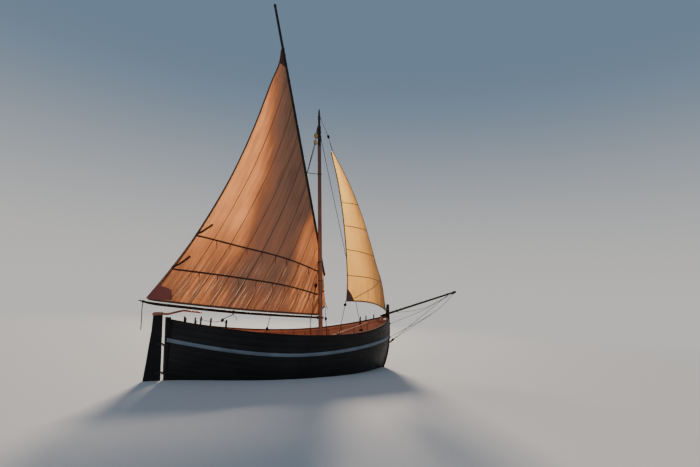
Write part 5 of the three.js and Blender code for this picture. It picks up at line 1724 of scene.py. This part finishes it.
# Halyard of the yard: strop on the mast's shoulder, two blocks, and two strands to the yard
halyardRig = [rigPath((-36, 7850, side * 65), (-196, 7540, -46)) for side in (-1, 1)]
halyardRig += [rigTurns((0, 0, 7852), (0.5, 0, 1), mastRadius(9090) + 22, 2, 22),
               rigPath((-212, 7120, -20), (yardX(6040) + 54, 6040, 116)),
               rigPath((-232, 7120, -52), (yardX(6000) + 42, 6000, 104)),
               rigPath((-206, 7370, -42), (-214, 7260, -30)), rigPath((-218, 7370, -62), (-228, 7260, -50))]
upperStrop = rope("halyard_strop", [rigPath((-84, 7830, -30), (-190, 7560, -46))], 19)
settle(joined("yard_halyard", [rope("halyard_ropes", halyardRig, 10), upperStrop]), "rig")
halyardWay = rigMatrix.to_3x3() @ Vector((-0.05, 0, 1))
# The halyard blocks are in the golden wood that carries a painted highlight.
blocksAt("yard_halyard_blocks", [(inRig(-206, 7440, -52), halyardWay, (0.2, 1, 0), 180),
                                 (inRig(-220, 7190, -36), halyardWay, (0.2, 1, 0), 165)], "rig", blockGoldHighlight)

# Fall of the halyard, down to two cleats on the coaming
cleatX, cleatSides = 746, (168, 232)
fallTop = rigPath((-117, 2660, 0), (-128, 2370, 0), (-200, 1890, 0))
fallRopes = [
    fallTop, rigTurns((0, 0, 2665), (0, 0, 1), mastRadius(3900) + 9, 3, 30),
    rigPath((-76, 2665, 0), (-117, 2600, 0)),
    smoothPath([*rigPath((-226, 1730, -8), (-360, 835, 12), (-412, 560, 52)), (742, 168, 1100)], 70),
    smoothPath([*rigPath((-236, 1730, 8), (-380, 1150, -6), (-396, 835, 6), (-440, 560, 60)),
                (742, 232, 1100)], 70)]
crossing(rope("halyard_fall", fallRopes, 10))
blocksAt("fall_block", [(inRig(-214, 1800, 0), Vector(fallTop[2]) - Vector(inRig(-240, 1650, 0)),
                         (0, 1, 0), 150)],
         "rig")
coamingTop = deckZ(cleatX, 200) + 94.5
settle(joined("fall_cleats",
              [cleat("fall_cleat", (cleatX, y, coamingTop), math.pi / 2, 0.55) for y in cleatSides]),
       "hull")
settle(rope("fall_turns", [turns((cleatX, y, coamingTop + 14), (0, 0, 1), 19, 3, 14) for y in cleatSides], 6),
       "hull")

# Tackle that holds the sail's tack down to the foredeck
tackHook, tackHigh, tackLow = (384, 1004, 165), (344, 560, 96), (1360, 26, 1080)
deckEye = (1360, 26, deckZ(1360, 26) + 1)
tackle = [rigPath(tackHook, tackHigh)]
for shift in (-16, 16):
    tackle.append([inRig(tackHigh[0] + shift * 0.5, tackHigh[1] - 50, tackHigh[2] + shift),
                   (tackLow[0], tackLow[1] + shift, tackLow[2] + 44)])
tackle.append([(*tackLow[:2], tackLow[2] - 44), (*deckEye[:2], deckEye[2] + 56)])
crossing(rope("tack_tackle", [evenPoints(path, 30) for path in tackle], 11))
tackWay = Vector(inRig(*tackHook)) - Vector(inRig(*tackHigh))
blocksAt("tack_block_high", [(inRig(*tackHigh), tackWay, (0, 1, 0), 116)], "rig")
blocksAt("tack_block_low", [(tackLow, (0, 0.05, 1), (0, 1, 0), 100)], "hull")
settle(eyeBolt("deck_eye", deckEye, 44, 16, 6), "hull")

# Mainsheet: from a span on the boom to a block on the tall post, and aft to its pin
spanX, boomEndX = -3503, -6262
postTop = Vector(railPlace(-3040, -1)) + Vector((0, 0, 200))
pinPlace = Vector(railPlace(-3690, -1, 170))
sheetEnd, sheetBlock = Vector(inRig(spanX, 940)), postTop + Vector((-110, 44, 62))
mainsheet = [evenPoints([sheetEnd, sheetBlock + Vector((0, 0, 20))], 60),
             evenPoints([sheetEnd + Vector((18, 0, 0)), sheetBlock + Vector((30, 0, 40))], 60)]
crossing(rope("mainsheet", mainsheet, 12))
fixedSheet = [smoothPath([sheetBlock + Vector((-20, 0, -34)),
                          sheetBlock.lerp(pinPlace, 0.5) - Vector((0, 0, 55)),
                          pinPlace + Vector((24, 0, 0))], 40),
              turns(pinPlace - Vector((0, 0, 6)), (0, 0, 1), 26, 4, 40),
              [sheetBlock, postTop + Vector((-24, 4, 0))], turns(postTop, (0, 0, 1), 28, 3, 30)]
settle(rope("mainsheet_lead", fixedSheet, 10), "hull")
blocksAt("mainsheet_block", [(sheetBlock, sheetEnd - sheetBlock, (1, 0, 0), 130)], "hull")


def boomTurns(x, slope, *values):
    return rigTurns((x, rigForm["offset"], boomHeight(x)), (-1, 0, slope), *values)


def yardLashing(h, *values):
    return rigTurns((yardX(h), rigForm["offset"], h), yardSlope, yardRadius(h) + 8, *values)


# Loose tails of rope: boom end, yard heel and the sheet's end
boomTail = smoothPath(rigPath((-6262, 1460, 178), (-6282, 1240, 186), (-6286, 1000, 178),
                              (-6295, 690, 186)), 50)
heelTail = smoothPath(rigPath((318, 2150, 196), (300, 2040, 202), (284, 1650, 204), (344, 1430, 206),
                              (411, 1151, 206), (500, 960, 200), (520, 905, 190)), 70)
sheetTail = smoothPath(rigPath((-3503, 935, 165), (-3440, 880, 150), (-3390, 800, 130),
                               (-3372, 742, 126)), 20)
boomSpan = [boomTurns(x, 0.125, tableAt(boomProfile, -x, 2) + 8, 2, 16) for x in (spanX, spanX + 26)]
lashings = [boomTurns(boomEndX, 0.3, 32, 4, 44), yardLashing(2230, 4, 44), yardLashing(10480, 5, 50)]
settle(joined("rig_tails", [rope("tail_ropes", [boomTail, heelTail], 14),
                            rope("tail_lashings", [sheetTail, *lashings, *boomSpan], 8.5)]), "rig")
print("running gear made")


# Iron bands on the mast, trenails in the decks

bandHeights = {9030: 34, 8600: 26, 3230: 26}
trenails = {"apart": 560, "end": 60, "border": 24, "shares": (0.28, 0.72), "stagger": 9, "size": (6, 6, 3)}
bands = []
for z, height in bandHeights.items():
    bands.append(roundBar("mast_band", [mastAt(z - height / 2), mastAt(z + height / 2)], mastRadius(z) + 3.5,
                          ironBlack, 32))
settle(joined("mast_bands", bands), "hull")
deckNails = []
for (start, stop), inner in ((deckValues["fore"], None), (deckValues["aft"], None),
                             (deckValues["side"], wellHalf)):
    count = max(int((stop - start) / trenails["apart"]), 3)
    for x in spread(start + trenails["end"], stop - trenails["end"], count):
        half = deckEdge(x) - trenails["border"]
        for k in range(-13, 13):
            for share in trenails["shares"]:
                y = (k + share) * deckValues["plank"]
                if abs(y) < half and (inner is None or abs(y) > inner(x) + trenails["border"]):
                    deckNails.append(((x + trenails["stagger"] * (share > 0.5), y, deckZ(x, y) - 1.5),
                                      (0, 0, 1), (1, 0, 0), tuple(c * mm for c in trenails["size"])))
settle(copies("deck_trenails", nailShape, deckNails, caulk), "hull")
print("bands and nails made")


# Stage, light and camera

stageValues = {"floor": (0.5, 0.51, 0.52), "low": (0.62, 0.6, 0.57), "high": (0.15, 0.22, 0.31), "rise": 0.5,
               "sun": 8.0, "front": 0.6, "radius": 90, "clear": (14.0, 60.0), "open": 18}


def stageDisc():
    # Floor at the waterline that runs out into the backdrop's low tone
    material, tree, shader, output = newMaterial("paleFloor", {"Base Color": (*stageValues["floor"], 1),
                                                               "Roughness": 0.9, "Specular IOR Level": 0.1})
    place = addNode(tree, "ShaderNodeTexCoord").outputs["Object"]
    reach = addNode(tree, "ShaderNodeVectorMath", {0: place}, operation="LENGTH").outputs["Value"]
    near, far = stageValues["clear"]
    fade = addNode(tree, "ShaderNodeMapRange", {0: reach, 1: near, 2: far}, interpolation_type="SMOOTHSTEP")
    glow = addNode(tree, "ShaderNodeEmission", {"Color": (*stageValues["low"], 1)})
    both = addNode(tree, "ShaderNodeMixShader",
                   {"Fac": fade.outputs[0], 1: shader.outputs[0], 2: glow.outputs[0]})
    tree.links.new(both.outputs[0], output.inputs["Surface"])
    # It is open inside the planking, because the well reaches below the waterline.
    line = [planking(x, 0) for x in spread(hullForm["aftStation"], hullForm["foreStation"], 63)]
    port = [(x * mm, (y - stageValues["open"]) * mm, 0) for x, y in line]
    hole = [(x, -y, z) for x, y, z in port] + port[::-1]
    count = len(hole)
    angles = [math.pi * (2 * k + 1) / count + math.pi for k in range(count)]
    rim = [(math.cos(a) * stageValues["radius"], math.sin(a) * stageValues["radius"], 0) for a in angles]
    mesh = bpy.data.meshes.new("floor")
    quads = [(k, (k + 1) % count, count + (k + 1) % count, count + k) for k in range(count)]
    mesh.from_pydata(rim + hole, [], quads)
    mesh.materials.append(material)
    newObject("floor", mesh)


def studioLight():
    world = bpy.data.worlds.new("studio")
    world.use_nodes = True
    tree = world.node_tree
    way = addNode(tree, "ShaderNodeSeparateXYZ",
                  {0: addNode(tree, "ShaderNodeTexCoord").outputs["Generated"]})
    up = addNode(tree, "ShaderNodeMapRange", {0: way.outputs["Z"], 2: stageValues["rise"]},
                 interpolation_type="SMOOTHSTEP")
    shade = blendColours(tree, up.outputs[0], stageValues["low"], stageValues["high"])
    tree.links.new(shade, tree.nodes["Background"].inputs["Color"])
    bpy.context.scene.world = world
    for name, energy, width, place, colour in (
            ("backLight", stageValues["sun"], 12, (8.5, 14, 5.5), (1.0, 0.82, 0.64)),
            ("softFront", stageValues["front"], 60, (-14, -12, 12), (0.9, 0.94, 1.0))):
        light = bpy.data.lights.new(name, "SUN")
        light.energy = energy
        light.angle = math.radians(width)
        light.color = colour
        lamp = newObject(name, light)
        lamp.location = place
        lamp.rotation_euler = (-Vector(place)).to_track_quat("-Z", "Y").to_euler()


# Where the photograph was taken from, with the boat upright: the view's place, its right and its up
cameraValues = {"lens": 23.14, "width": 36, "reach": 500, "place": (-8.898, -13.634, 2.338),
                "right": (0.7703, -0.6358, 0.0498), "up": (-0.140, -0.0925, 0.9858)}


def photoCamera():
    camera = bpy.data.cameras.new("camera")
    camera.sensor_width = cameraValues["width"]
    camera.lens = cameraValues["lens"]
    camera.clip_end = cameraValues["reach"]
    view = newObject("camera", camera)
    right = Vector(cameraValues["right"])
    back = right.cross(Vector(cameraValues["up"])).normalized()
    up = back.cross(right).normalized()
    turned = Matrix((right, up, back)).transposed().to_4x4()
    view.matrix_world = Matrix.Translation(cameraValues["place"]) @ turned
    bpy.context.scene.camera = view


stageDisc()
studioLight()
photoCamera()
dropShapes(boxShape, nailShape, pinShape, cordShape, ringShape, blockShape)
